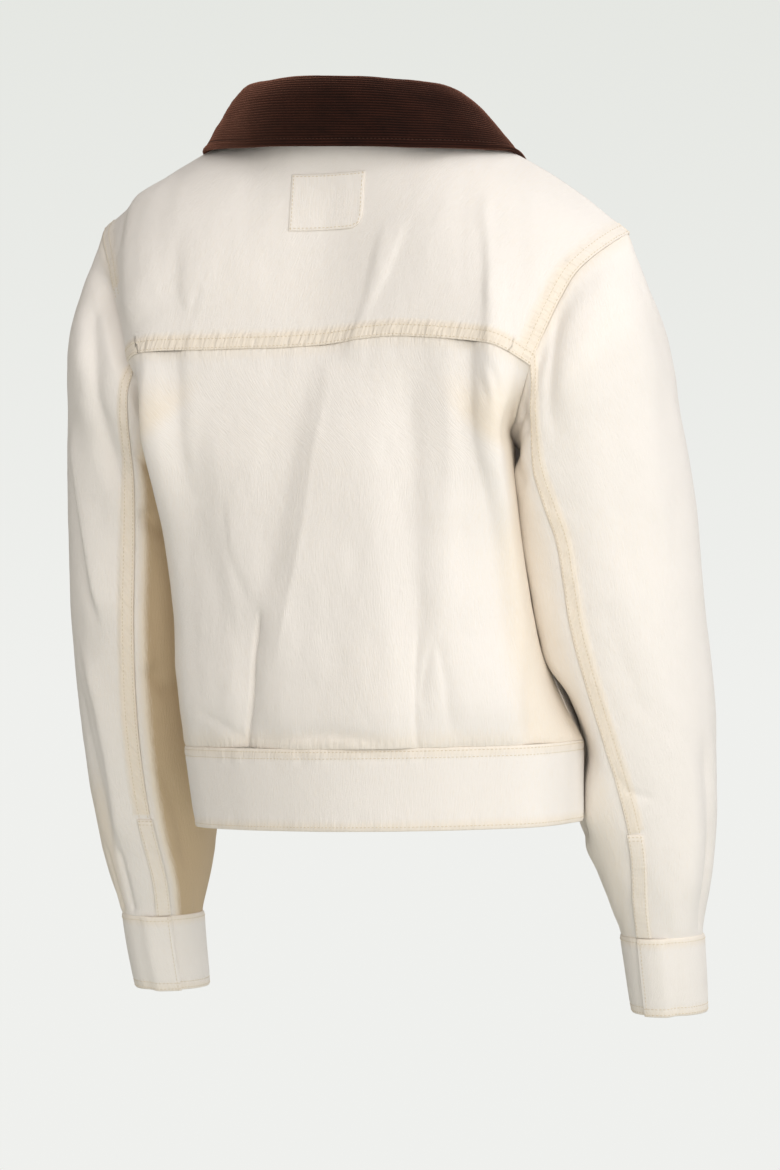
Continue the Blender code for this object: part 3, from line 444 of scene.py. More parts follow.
creamTwill = twillMaterial("cream_twill")
brownCord = corduroyMaterial("brown_corduroy")
creamThread = plainMaterial("cream_thread", (0.66, 0.56, 0.41), (0.80, 0.71, 0.56), 0.6, 1500.0, 0.5)
brownThread = plainMaterial("brown_thread", (0.030, 0.012, 0.008), (0.075, 0.032, 0.021), 0.6, 1500.0, 0.5)
buttonHorn = plainMaterial("button_horn", (0.045, 0.022, 0.014), (0.13, 0.07, 0.04), 0.3, 130.0, 0.1)
print("materials made")


def finishPiece(obj, slotName, *nodes):
    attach(obj, "root")
    if nodes:
        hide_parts(*nodes)


def addMesh(name, points, faces, material, slotName, *nodes, uv=None, mark=None, seam=None):
    mesh = bpy.data.meshes.new(name)
    mesh.from_pydata(points, [], faces)
    if uv is not None:
        layer = mesh.uv_layers.new(name="UVMap")
        corners = np.empty(len(mesh.loops), np.int32)
        mesh.loops.foreach_get("vertex_index", corners)
        layer.data.foreach_set("uv", uv[corners].astype(np.float32).ravel())
        fields = (("mark", "FLOAT", "value", mark), ("seam", "FLOAT_VECTOR", "vector", seam))
        for word, kind, key, values in fields:
            made = mesh.attributes.new(word, kind, "POINT")
            made.data.foreach_set(key, values.astype(np.float32).ravel())
    mesh.validate()
    mesh.update()
    mesh.shade_smooth()
    obj = bpy.data.objects.new(name, mesh)
    bpy.context.scene.collection.objects.link(obj)
    obj.data.materials.append(material)
    finishPiece(obj, slotName, *nodes)
    return obj


def gridFaces(index, flip):
    quads = np.stack((index[:-1, :-1], index[:-1, 1:], index[1:, 1:], index[1:, :-1]), axis=-1).reshape(-1, 4)
    return quads[:, ::-1] if flip else quads


def addCloth(name, piece, flat, area=None, held="draped", material=creamTwill, slotName="cream_twill"):
    skin, turn = piece.skin(), piece.turn
    back = piece.grid + piece.normal * (np.minimum(piece.rise, smoothed(piece.rise)) - piece.thick)[..., None]
    count = piece.rise.size
    index = np.arange(count).reshape(piece.rise.shape)
    ring = np.concatenate((index[0], index[1:, -1], index[-1, -2::-1], index[-2:0:-1, 0]))
    after = np.roll(ring, -1)
    rim = np.stack((after, ring, ring + count, after + count), axis=1)[:, ::-turn]
    faces = np.concatenate((gridFaces(index, turn > 0), gridFaces(index + count, turn < 0), rim))
    points = np.concatenate((skin.reshape(-1, 3), back.reshape(-1, 3)))
    way = np.concatenate((piece.seam, piece.ruck[..., None]), axis=2).reshape(-1, 3)
    fields = (piece.uv.reshape(-1, 2), piece.mark.ravel(), way)
    uv, mark, seam = (np.concatenate((field, field)) for field in fields)
    obj = addMesh(name + "_cloth", points, faces.tolist(), material, slotName, name,
                  uv=uv, mark=mark, seam=seam)


def treeOf(*pieces, skins=False):
    points, faces = [], []
    for piece in pieces:
        index = np.arange(piece.rise.size).reshape(piece.rise.shape) + len(points)
        faces += gridFaces(index, piece.turn > 0).tolist()
        points += (piece.skin() if skins else piece.grid).reshape(-1, 3).tolist()
    return BVHTree.FromPolygons(points, faces)


def liftOff(points, tree, gap):
    out = points.copy()
    flat = out.reshape(-1, 3)
    for n, spot in enumerate(flat):
        place, facing, _, away = tree.find_nearest(tuple(spot), resting["reach"])
        if place is None:
            continue
        facing = np.array(facing)
        height = (spot - np.array(place)) @ facing
        if height < gap and math.sqrt(max(away**2 - height**2, 0)) < resting["aside"]:
            flat[n] = spot + facing * (gap - height)
    return out


def settle(grid, tree, gap):
    for _ in range(resting["rounds"]):
        grid = liftOff(grid, tree, gap)
        for axis in (0, 1):
            view = np.moveaxis(grid, axis, 0)
            middle = (view[:-1] + view[1:]) / 2
            push = (liftOff(middle, tree, gap) - middle) * resting["share"]
            view[:-1] += push
            view[1:] += push
    return grid


# Stitches: each a small sunk capsule, and all the rows given are one mesh
thread = {
    "length": 2.3, "gap": 0.9, "radius": 0.27, "sides": 5, "sunk": 0.6, "raised": 0.25, "ends": (0.2, 0.8),
}


def stitchMesh(name, rows, material=creamThread, slotName="cream_twill"):
    starts, ends, ups = [], [], []
    for line, facing in rows:
        run = running(line)
        count = int(run[-1] / ((thread["length"] + thread["gap"]) * mm))
        if count < 1:
            continue
        at = (np.arange(count) + 0.2) * run[-1] / count
        starts.append(readAt(at, run, line))
        ends.append(readAt(at + thread["length"] * mm, run, line))
        ups.append(readAt(at, run, facing))
    a, b, up = (np.concatenate(x) for x in (starts, ends, ups))
    along = b - a
    side = unit(np.cross(along, up))
    up = unit(np.cross(side, along))
    radius, sides = thread["radius"] * mm, thread["sides"]
    points = [a - up * radius * thread["sunk"]]
    for part in thread["ends"]:
        middle = a + along * part + up * radius * thread["raised"]
        for k in range(sides):
            angle = 2 * math.pi * k / sides
            points.append(middle + (side * math.cos(angle) + up * math.sin(angle)) * radius)
    points.append(b - up * radius * thread["sunk"])
    each, faces = len(points), []
    for k in range(sides):
        j = (k + 1) % sides
        faces += [(0, 1 + k, 1 + j), (1 + k, 1 + sides + k, 1 + sides + j, 1 + j)]
        faces.append((1 + sides + k, each - 1, 1 + sides + j))
    allFaces = [tuple(i + n * each for i in face) for n in range(len(a)) for face in faces]
    addMesh(name, np.stack(points, axis=1).reshape(-1, 3), allFaces, material, slotName)


def rowsAt(piece, edge, *distances, lift=0.05, span=(0.0, 1.0)):  # lines on the skin, in from an edge
    skin, normal, dist = piece.skin(), piece.normal, piece.dist[edge]
    if edge in ("bottom", "top"):
        skin, normal, dist = skin.transpose(1, 0, 2), normal.transpose(1, 0, 2), dist.T
    if edge in ("end", "top"):
        skin, normal, dist = skin[:, ::-1], normal[:, ::-1], dist[:, ::-1]
    last = len(skin) - 1
    rows = range(int(span[0] * last), int(round(span[1] * last)) + 1)
    lines = []
    for distance in distances:
        line, facing = (np.array([readAt(distance * mm, dist[r], values[r]) for r in rows])
                        for values in (skin, normal))
        lines.append((line + facing * lift * mm, facing))
    return lines


# Body: sections out from the middle as (across, behind, above) in mm, low to high
backSections = (
    ((0, 119, -488), (52, 113, -488), (102, 97, -488), (151, 65, -488), (164, 0, -488)),
    ((0, 121, -462), (53, 117, -462), (102, 104, -462), (150, 71, -462), (152, 0, -462)),
    ((0, 118, -400), (53, 115, -400), (103, 104, -400), (149, 67, -400), (135, 0, -400)),
    ((0, 113, -330), (53, 111, -330), (103, 103, -330), (151, 72, -330), (131, 0, -328)),
    ((0, 105, -262), (53, 105, -262), (103, 102, -261), (154, 93, -258), (135, 8, -250)),
    ((0, 101, -231), (53, 102, -231), (102, 101, -231), (153, 99, -235), (145, 41, -241)),
    ((0, 97, -202), (52, 99, -202), (101, 99, -203), (151, 99, -209), (159, 67, -219)),
    ((0, 92, -174.5), (52, 95, -174), (100, 97.5, -175), (147, 96.5, -179), (171, 82, -190)),
)
yokeSections = (
    backSections[-1],
    ((0, 80, -130), (52, 86, -130), (102, 89, -131), (152, 86, -140), (184, 66, -153)),
    ((0, 69, -85), (51, 75, -85), (100, 77, -85), (157, 69, -98), (200, 47, -115)),
    ((0, 62.5, -42), (51, 62, -42), (97, 51, -35), (161, 40, -56), (218, 22, -92)),
    ((0, 62, -4), (50, 48, -1), (92, 10, -4), (163, 3, -35), (227, 0, -81.5)),
)
frontSections = (
    ((0, -112, -488), (52, -107, -488), (100, -91, -488), (138, -57, -488), (164, 0, -488)),
    ((0, -116, -462), (53, -112, -462), (99, -98, -462), (134, -66, -462), (152, 0, -462)),
    ((0, -116, -400), (53, -112, -400), (96, -98, -400), (123, -66, -400), (135, 0, -400)),
    ((0, -117, -330), (53, -114, -330), (96, -101, -330), (121, -68, -330), (131, 0, -328)),
    ((0, -115, -262), (53, -114, -261), (99, -104, -259), (133, -74, -256), (135, 8, -250)),
    ((0, -110, -222), (53, -110, -220), (99, -102, -217), (136, -80, -217), (141, -32, -238)),
    ((0, -103, -180), (52, -103, -175), (97, -96, -166), (138, -81, -170), (157, -60, -199)),
    ((0, -96, -140), (52, -93, -128), (93, -80, -108), (145, -68, -122), (178, -62, -153)),
    ((0, -90, -106), (56, -79, -86), (90, -45, -45), (153, -38, -66), (207, -36, -108)),
    ((0, -84, -80), (64, -58, -54), (92, 10, -4), (163, 3, -35), (227, 0, -81.5)),
)
yokeSway = ((-175, 2), (-144, 7), (-66, 7), (0, -1), (34, -4), (88, -6), (140, -4), (170, 1))
body = {"neckSteps": 6, "sideSteps": 6, "armholeFrom": 9, "swayReach": 0.07, "pull": 4}
halfStations = np.concatenate((np.linspace(0, 0.5, body["neckSteps"] + 1),
                               np.linspace(0.5, 1, body["sideSteps"] + 1)[1:]))
yokeLevels = np.array((0.0, 0.11, 0.22, 0.36, 0.50, 0.63, 0.76, 0.88, 1.0))


def sway(points, level):  # the cloth near the yoke seam follows the seam up and down
    x, rise = metres(yokeSway).T
    out = points.copy()
    near = 1 - smooth(np.abs(points[..., 2] - level) / body["swayReach"])
    out[..., 2] += np.interp(points[..., 0], x, rise) * near
    return out


def pullEdge(view, target):
    off = target - view[-1]
    for k in range(body["pull"]):
        view[-1 - k] += off * (1 - smooth(k / body["pull"]))


def bodyPieces():
    wide = np.concatenate((-halfStations[:0:-1], halfStations))
    low, neck = body["armholeFrom"], body["neckSteps"]
    backUp = np.concatenate((halvesOf(4), 4 + np.arange(1, 4)))
    back = sectionGrid(backSections, backUp, wide)
    yoke = sectionGrid(yokeSections, yokeLevels * 4, wide)
    front = sectionGrid(frontSections, halvesOf(9), halfStations)
    shoulder = front[-1].copy()
    shoulder[neck:] = yoke[-1, len(halfStations) - 1 + neck:]
    pullEdge(front, shoulder)
    side = front[:, -1].copy()
    side[:low] = back[:low, -1]
    pullEdge(front.transpose(1, 0, 2), side)
    seam = yoke[0, :, 2]
    return {
        "back_panel": Cloth(nip(sway(lean(back), seam)), 1),
        "back_yoke": Cloth(sway(lean(yoke), seam), 1),
        "front_left": Cloth(nip(lean(front)), -1),
        "front_right": Cloth(nip(lean(front[:, ::-1] * (-1, 1, 1))), -1),
    }


pieces = bodyPieces()

band = {"height": 64, "narrowing": 0.972, "overlap": 20, "lift": 0.5}


def bandPiece():
    right, left = pieces["front_right"].grid[0], pieces["front_left"].grid[0]
    top = np.concatenate((right[::-1], pieces["back_panel"].grid[0][1:], left[::-1][1:]))
    over = unit(top[1] - top[0]) * band["overlap"] * mm
    top = np.concatenate((top, [top[0] + over * 0.5, top[0] + over]))
    middle = top.mean(axis=0)
    levels = []
    slide = stance["hipShift"] / (stance["shiftFrom"] - stance["hipLevel"])
    for part in np.linspace(1, 0, 4):
        ring = middle + (top - middle) * (1 - (1 - band["narrowing"]) * part)
        ring[:, 2] = top[:, 2] - band["height"] * mm * part
        ring[:, 0] += slide * band["height"] * mm * part
        levels.append(ring)
    piece = Cloth(np.stack(levels), 1, cloth["doubled"] * mm)
    piece.grid[:, -3:] += piece.normal[:, -3:] * (cloth["doubled"] + band["lift"]) * mm
    return piece


pieces["hem_band"] = bandPiece()

# Sleeves: rings as outer, its level, inner, its level, behind, half depth in mm, and the back seam's angle
sleeveRings = (
    (246.0, -150, 144, -268, 0, 81, 116),
    (257.0, -215, 143, -300, -14, 81, 116),
    (266.0, -300, 142, -345, -28, 80, 112),
    (270.0, -385, 143, -400, -38, 79, 108),
    (273.0, -457, 149, -462, -52, 75, 104),
    (271.0, -520, 161, -522, -62, 66, 102),
    (267.0, -570, 171, -572, -70, 57, 104),
    (260.0, -612, 180, -613, -77, 48, 111),
    (252.5, -642.5, 190, -642.5, -83, 41, 116),
)
cuffRings = (
    (254.5, -642.5, 188.5, -642.5, -83, 42, 117),
    (253.0, -676, 190, -676, -92, 41, 118),
    (251.0, -706.5, 191, -706.5, -101, 39, 119),
)
sleeve = {
    "steps": (8, 3, 4, 6), "frontSeam": 0.95, "gap": {"right": 1.0, "left": 4.0}, "capGap": 1.5,
    "shift": -6, "shiftLevel": -650, "shiftMost": 1.1, "twist": 15, "twistBelow": (-400, -640),
    "press": 15, "square": 1.3, "pressBelow": (-260, -320), "pressAbove": (-600, -510),
    "seamTurn": -11, "turnBelow": (-150, -310), "turnAbove": (-650, -490),
}
cuff = {"overlap": 34, "risesOver": 46, "steps": 17, "lift": 0.4}


def ringPoints(row, angle, side):
    outer, outerUp, inner, innerUp, behind, halfDepth, _ = row
    across, deep = np.cos(angle)[:, None], np.sin(angle)[:, None]
    if side < 0:  # the right sleeve leans on the body, and its under panel is squarer behind
        leaning = float(ramp(innerUp, *sleeve["pressBelow"]) * ramp(innerUp, *sleeve["pressAbove"]))
        inner -= sleeve["press"] * leaning
        power = 2 + sleeve["square"] * leaning
        squared = (np.abs(across) ** power + np.abs(deep) ** power) ** (-1 / power)
        swell = np.where((across < 0) & (deep > 0), squared, 1.0)
        across, deep = across * swell, deep * swell
    middle = metres(((outer + inner) / 2, behind, (outerUp + innerUp) / 2))
    out = metres(((outer - inner) / 2, 0, (outerUp - innerUp) / 2))
    ring = (middle + across * out + deep * metres((0, halfDepth, 0))) * (side, 1, 1)
    down = np.clip(ring[:, 2] / (sleeve["shiftLevel"] * mm), 0, sleeve["shiftMost"])
    ring[:, 0] += sleeve["shift"] * mm * down
    return ring


def seamAngle(row, side):  # the sleeve twists towards the cuff, and the right seam runs further round
    level, turned = row[1], side * sleeve["twist"] * ramp(row[1], *sleeve["twistBelow"])
    if side < 0:
        turned += sleeve["seamTurn"] * ramp(level, *sleeve["turnBelow"]) * ramp(level, *sleeve["turnAbove"])
    return math.radians(row[-1] + float(turned))


def ringAngles(seam):
    _, under, lowFront, highFront = sleeve["steps"]
    frontSeam = 2 * math.pi - seam * sleeve["frontSeam"]
    return np.concatenate((seam * (1 - yokeLevels[::-1]),
                           np.linspace(seam, math.pi, under + 1)[1:],
                           np.linspace(math.pi, frontSeam, lowFront + 1)[1:],
                           np.linspace(frontSeam, 2 * math.pi, highFront + 1)[1:-1]))


def armhole(side, word):
    column, low = -1 if side > 0 else 0, body["armholeFrom"] - 1
    yoke = pieces["back_yoke"].grid[::-1, column]
    under = pieces["back_panel"].grid[low:, column][::-1]
    return np.concatenate((yoke, under[1:], pieces[f"front_{word}"].grid[low:, column][1:-1]))


def sleevePieces(side, word):
    rings = [ringPoints(row, ringAngles(seamAngle(row, side)), side) for row in sleeveRings]
    grid = respaced(np.stack([armhole(side, word)] + rings), halvesOf(len(sleeveRings)))
    tree = treeOf(*(pieces[name] for name in ("back_panel", f"front_{word}", "hem_band")))
    grid[1] = liftOff(grid[1], tree, sleeve["capGap"] * mm)
    grid[2:] = settle(grid[2:], tree, sleeve["gap"][word] * mm)
    seamBack, seamFront = sleeve["steps"][0], sum(sleeve["steps"][:3])
    pieces[f"sleeve_under_{word}"] = Cloth(grid[:, seamBack:seamFront + 1], side)
    top = np.concatenate((grid[:, seamFront:], grid[:, :seamBack + 1]), axis=1)
    pieces[f"sleeve_top_{word}"] = Cloth(top, side)


def cuffPiece(side):
    levels = []
    over, rising = math.radians(cuff["overlap"]), math.radians(cuff["risesOver"])
    turns = np.concatenate((np.linspace(-over, 0, 3)[:-1],
                            np.linspace(0, 2 * math.pi - rising, cuff["steps"])[:-1],
                            2 * math.pi + np.linspace(-rising, 0, 5)))
    for row in cuffRings:
        levels.append(ringPoints(row, seamAngle(row, side) + turns, side))
    piece = Cloth(np.stack(levels), side, cloth["doubled"] * mm)
    piece.grid[:, -4:] += piece.normal[:, -4:] * (cloth["doubled"] + cuff["lift"]) * mm
    return piece


sides = ((-1, "right"), (1, "left"))
for side, word in sides:
    sleevePieces(side, word)
for side, word in sides:
    pieces[f"cuff_{word}"] = cuffPiece(side)
shareNormals(list(pieces.values()))
print("rough pieces made")

# Folds: reach to the left and right as seen from behind, rise, then the route downwards, all in mm: x and z
# on the body, and on a sleeve the distance from the back seam (the outer side below nought) and z
backFolds = (
    (14, 80, 5, 186, -24, 180, -70, 168, -120, 160, -165),
    (25, 8, -3.8, 124, -70, 123, -113, 119, -161, 115, -201, 112, -248, 108, -300),
    (34, 26, -5, 112, -238, 103, -303, 86, -351, 66, -397, 53, -443, 47, -478, 43, -520),
    (12, 22, 4.5, 156, -180, 154, -240, 148, -290, 142, -350, 136, -420, 132, -480),
    (11, 9, -3.4, 34, -368, 39, -385, 44, -412, 48, -451, 53, -475, 58, -510),
    (1.7, 2.1, -3.6, 36, -374, 40, -390, 44, -412, 48, -451, 53, -475, 56, -500),
    (6, 5, -0.9, 74, -290, 66, -343, 47, -378),
    (7, 20, 2.2, -53, -68, -52, -101, -46, -133, -37, -168, -28, -195),
    (17, 10, -1.8, -41, -75, -34, -105, -28, -140, -17, -170, -6, -195),
    (14, 30, 3, -26, -178, -16, -206, -9, -241, -5, -272, 0, -318, 5, -350, 14, -388, 21, -419, 27, -450),
    (1.6, 2.8, 0.6, -21, -190, -9, -241, 0, -318, 14, -388, 24, -436),
    (26, 14, -2.4, -2, -180, 8, -225, 15, -272, 23, -318, 30, -354, 37, -389),
    (3.5, 9, -2, -104, -16, -95, -36, -81, -70, -71, -94, -63, -117, -44, -158),
    (52, 22, 4.4, -41, -160, -45, -218, -52, -272, -60, -327, -70, -392, -74, -450, -76, -530),
    (17, 13, -3.2, -80, -140, -83, -180, -85, -234, -90, -296, -93, -349, -95, -403, -95, -449, -94, -510),
    (2.2, 3, -1.2, -95, -385, -94, -426, -94, -500),
    (13, 10, 1.8, -114, -170, -116, -242, -116, -296, -116, -349, -117, -405),
    (3, 5, -1.5, -109, -395, -115, -425, -118, -448, -120, -482),
    (3, 4, -1, -110, -396, -105, -414, -101, -433, -98, -456),
    (13, 7, -5.6, -126, -66, -132, -103, -133, -142, -132, -176, -133, -218, -138, -257, -146, -295, -150,
     -334, -154, -372, -158, -410, -163, -462),
    (6, 12, 3.2, -135, -74, -146, -142, -152, -219, -157, -257, -159, -295, -162, -334, -165, -372, -167,
     -425),
    (6, 3.5, -3.6, -150, -48, -162, -103, -166, -134, -172, -178),
    (6, 6, -2.2, -107, -30, -116, -87, -123, -150),
    (5, 5, 1.8, -128, -54, -139, -104, -146, -152),
    (14, 11, -1.3, 60, -84, 33, -127, 0, -168),
    (3, 4, -0.7, 28, -102, 17, -131, -2, -163),
    (3.5, 5, -1.6, 197, -58, 188, -82, 188, -100),
    (2.5, 3, -0.7, 98, -125, 108, -158),
    (4, 4, -1.2, 103, -462, 72, -475, 50, -490),
    (5, 18, -3.8, -168, -290, -170, -350, -173, -410, -175, -510),
    (4, 5, -1.6, -178, -340, -182, -372, -184, -400),
    (2.5, 3, -1.3, -137, -196, -146, -210, -150, -226),
    (2.2, 3, -1.5, -147, -188, -154, -204, -157, -222),
    (3, 7, -2, 52, -489, 9, -481, -26, -477, -50, -480, -80, -484),
)
frontFolds = (
    (12, 16, -3, 120, -60, 108, -130, 100, -210),
    (15, 11, -2.6, -118, -62, -104, -140, -98, -200),
    (14, 18, 3, 112, -190, 100, -290, 92, -400, 86, -480),
    (18, 13, 3.2, -128, -200, -112, -300, -104, -392, -108, -486),
    (13, 10, -3, 60, -260, 52, -360, 40, -470, 38, -500),
    (10, 14, -3.2, -70, -230, -74, -330, -66, -440, -62, -500),
    (4, 6, -1.8, 80, -400, 76, -450, 74, -500),
    (5, 4, -1.6, -92, -410, -90, -460, -84, -500),
    (12, 12, -1.4, 44, -120, 60, -180, 66, -250),
    (12, 12, -1.2, -48, -110, -60, -170, -58, -240),
)
sleeveFolds = {
    "right": (
        (4, 10, -3, -62, -128, -37, -177, -26, -213, -26, -256),
        (15, 15, -2, -100, -155, -76, -234, -58, -295, -41, -380),
        (17, 15, 2, -150, -125, -122, -203, -97, -264, -80, -335),
        (9, 10, -1.3, -30, -365, -35, -419, -39, -472),
        (3, 3, -1.2, -3, -519, -13, -525, -28, -528),
        (2.5, 3, -0.9, 0, -508, -9, -524),
        (11, 7, -4, -94, -470, -86, -531, -82, -572, -76, -606, -63, -650),
        (2, 2.4, -2.6, -82, -556, -79, -588, -71, -613, -62, -646),
        (11, 12, 1.8, -72, -490, -57, -562, -48, -622),
        (5, 6, -2.2, 40, -232, 16, -230, 4, -246),
        (7, 9, -2.2, 52, -250, 34, -262, 12, -288),
        (10, 12, -2, 60, -330, 44, -370, 40, -420),
        (18, 16, -3, -190, -190, -200, -300, -190, -420),
        (14, 16, 2.6, -230, -260, -215, -360, -205, -480),
        (9, 12, -2.4, -150, -480, -140, -560, -130, -640),
        (14, 14, -2.6, 120, -260, 100, -330, 90, -420),
    ),
    "left": (
        (9, 18, -7.5, -108, -116, -57, -175, -38, -224, -24, -260, -4, -300),
        (3, 14, 4.2, -84, -228, -60, -288, -45, -333, -35, -369, -24, -404),
        (7, 3, -2, -76, -250, -66, -290, -52, -333, -42, -369, -32, -398),
        (5.5, 12, 4.2, -62, -402, -42, -443, -31, -493, -30, -543, -34, -592),
        (9, 7, -2.6, -72, -430, -55, -480, -44, -540, -46, -600),
        (2.6, 3, -3.2, -58, -580, -53, -613, -46, -648),
        (2.6, 3, -3.2, -37, -578, -35, -611, -31, -648),
        (4, 8, -3, 2, -252, 17, -272, 40, -282),
        (6, 8, -1.6, 13, -344, 16, -394, 20, -452),
        (7, 10, -4.5, 4, -300, 20, -320, 46, -322),
        (7, 11, -4, 8, -428, 26, -450, 50, -446),
        (6, 9, -3, 14, -510, 24, -560, 22, -606),
        (16, 18, -3.2, -190, -190, -205, -300, -196, -430),
        (14, 14, 2.4, -150, -230, -160, -330, -150, -440),
        (9, 12, -2.6, -120, -470, -115, -560, -110, -640),
        (14, 14, -2.6, 110, -250, 96, -330, 84, -430),
    ),
}

# Rows and columns closer together by the edges: where a felled band lies, and where there is only a rim
felled = (0.7, 1.6, 9.8, 11.0, 12.3)
rimmed = (0.7, 1.8)
tuckStretches = ((130, 170, 1.3), (282, 314, 1.2))
bothRimmed = (rimmed, rimmed)
closer = {
    "back_panel": (bothRimmed, (*bothRimmed, *tuckStretches)),
    "back_yoke": ((felled, rimmed), (felled, felled)),
    "front_left": ((rimmed, felled), (rimmed, felled)),
    "front_right": ((rimmed, felled), (felled, rimmed)),
    "sleeve_top_left": (bothRimmed, (rimmed, felled)),
    "sleeve_top_right": (bothRimmed, (rimmed, felled)),
}
fine = {}
for name, piece in pieces.items():
    rows, columns = closer.get(name, (bothRimmed, bothRimmed))
    fine[name] = refine(piece, rowsNear=rows, columnsNear=columns)
print("fine grids:", sum(f.rise.size for f in fine.values()), "points")

yokeLook = {
    "sides": (("start", 21, -0.4), ("end", 22, -0.14)),  # the left one turns out of sight low down
    # the two entries for beside the sleeve place painted shade low on the back panel's sides, next to the
    # sleeves
    "overShoulder": (-0.13, -0.09), "shadeBesideSleeve": (68, 30), "shadeBesideBelow": (-0.19, -0.23),
}
frontLook = {"sides": (("left", "end"), ("right", "start")), "fellAbove": -0.235}
sleeveSides = {
    # the last entry of each sleeve is the strength of painted shade on its under panel
    "left": {"seed": 31, "capSeed": 22, "mirror": -1, "hollow": 9.0, "underArmShade": 2.6},
    "right": {"seed": 41, "capSeed": 21, "mirror": 1, "hollow": 2.0, "underArmShade": 0.5},
}
sleeveLook = {
    "placketFrom": (-0.56, -0.554), "fadeIn": 12, "fadeOut": 8,
    "gathers": 1.0, "gatherPitch": 11, "gatherReach": 30, "gatherFrom": 4,
    "drawn": 0.5, "drawnPitch": 9, "drawnReach": 12, "drawnFrom": 3,
    "hollowAt": 12, "hollowWidth": 11, "hollowFrom": 5, "hollowBelow": (-0.095, -0.135),
    # where painted shade lies on the under panel
    "underArmShadeFrom": (1, 15), "underArmShadeTo": (190, 130), "underArmShadeBelow": (-0.23, -0.28),
    # where the left sleeve's deep yellow lies above the cuff, partly painted shade
    "stainAndShadeFrom": (-34, -50), "stainAndShadeTo": (-120, -90), "stainAndShadeBelow": (-0.5, -0.56),
}
bandLook = {
    "depths": (("hem_band", 0.55), ("cuff_left", 0.35), ("cuff_right", 0.35)), "pitch": 9, "slant": 0.3,
    "at": 6, "width": 6, "edge": 0.9, "edgeOver": 1.6, "hemRow": 3.4, "topRows": (2.2, 7.4),
}
pastBand = 0.05  # a distance in metres beyond any band


def shapeBack():
    panel, yoke = fine["back_panel"], fine["back_yoke"]
    for piece in (panel, yoke):
        x, z = piece.grid[..., 0] / mm, piece.grid[..., 2] / mm
        piece.rise += foldRise(x, z, backFolds) * smooth(piece.normal[..., 1] * 2)
        piece.rise += crumple(x, z, (0.8, 50, 90, 3), (0.55, 16, 38, 4), (0.16, 6, 13, 5))
    x, top, bottom = panel.grid[..., 0], panel.dist["top"], panel.dist["bottom"]
    panel.rise += puckers(top, x, depth=0.2, pitch=9, reach=9, seed=11, band=2) + groove(top, 0.25)
    panel.rise += puckers(bottom, x, depth=0.5, pitch=10, reach=9, seed=12, band=2) + groove(bottom, 0.8)
    panel.ruck = 0.6 * seamTone(top, 1, 7) + 0.6 * seamTone(bottom, 2, 9)
    # painted shade: warmer and darker low on the back panel's sides, where the sleeves shade the body
    beside = seamTone(panel.near("start", "end"), *yokeLook["shadeBesideSleeve"])
    beside *= ramp(panel.grid[..., 2], *yokeLook["shadeBesideBelow"])
    panel.stainAndShade(0.4 * seamTone(top, 2, 10), 0.5 * seamTone(bottom, 4, 14), beside)
    z, bottom = yoke.grid[..., 2], yoke.dist["bottom"]
    yoke.rise += felledEdge(bottom, yoke.grid[..., 0], depth=0.55, seed=11, reach=7)
    yoke.stainAndShade(seamTone(bottom))
    yoke.ruck = seamTone(bottom, 10, 8)
    for edge, seed, foot in yokeLook["sides"]:
        near = yoke.dist[edge] + pastBand * (1 - ramp(z, foot, foot + 0.02))
        fading = 1 - 0.5 * ramp(z, *yokeLook["overShoulder"])
        yoke.rise = np.maximum(yoke.rise, yoke.rise * 0.4 + fell(near) * fading)
        yoke.rise += puckers(near, z, depth=0.6, pitch=felling["pucker"], reach=8, seed=seed) * fading
        yoke.rise += stitchDip(near, felling["rows"])
        yoke.stainAndShade(seamTone(near, soft=9) * fading)
        yoke.ruck = np.maximum(yoke.ruck, seamTone(near, 10, 8) * fading)
        yoke.seamBy(edge)


def shapeFronts():
    for word, edge in frontLook["sides"]:
        piece = fine[f"front_{word}"]
        x, z, bottom = piece.grid[..., 0], piece.grid[..., 2], piece.dist["bottom"]
        piece.rise += foldRise(x / mm, z / mm, frontFolds, -1) * smooth(-piece.normal[..., 1] * 2)
        piece.rise += crumple(x / mm, z / mm, (0.7, 50, 80, 7), (0.3, 19, 26, 8))
        near = np.where(z > frontLook["fellAbove"], piece.dist[edge], pastBand)
        piece.rise += felledEdge(near, z, depth=0.5, seed=23)
        piece.rise += puckers(bottom, x, depth=0.5, pitch=10, reach=9, seed=24, band=2)
        piece.stainAndShade(seamTone(near), 0.5 * seamTone(bottom, 4, 14))
        piece.ruck = np.maximum(seamTone(near, 10, 8), 0.6 * seamTone(bottom, 2, 9))
        piece.seamBy(edge)


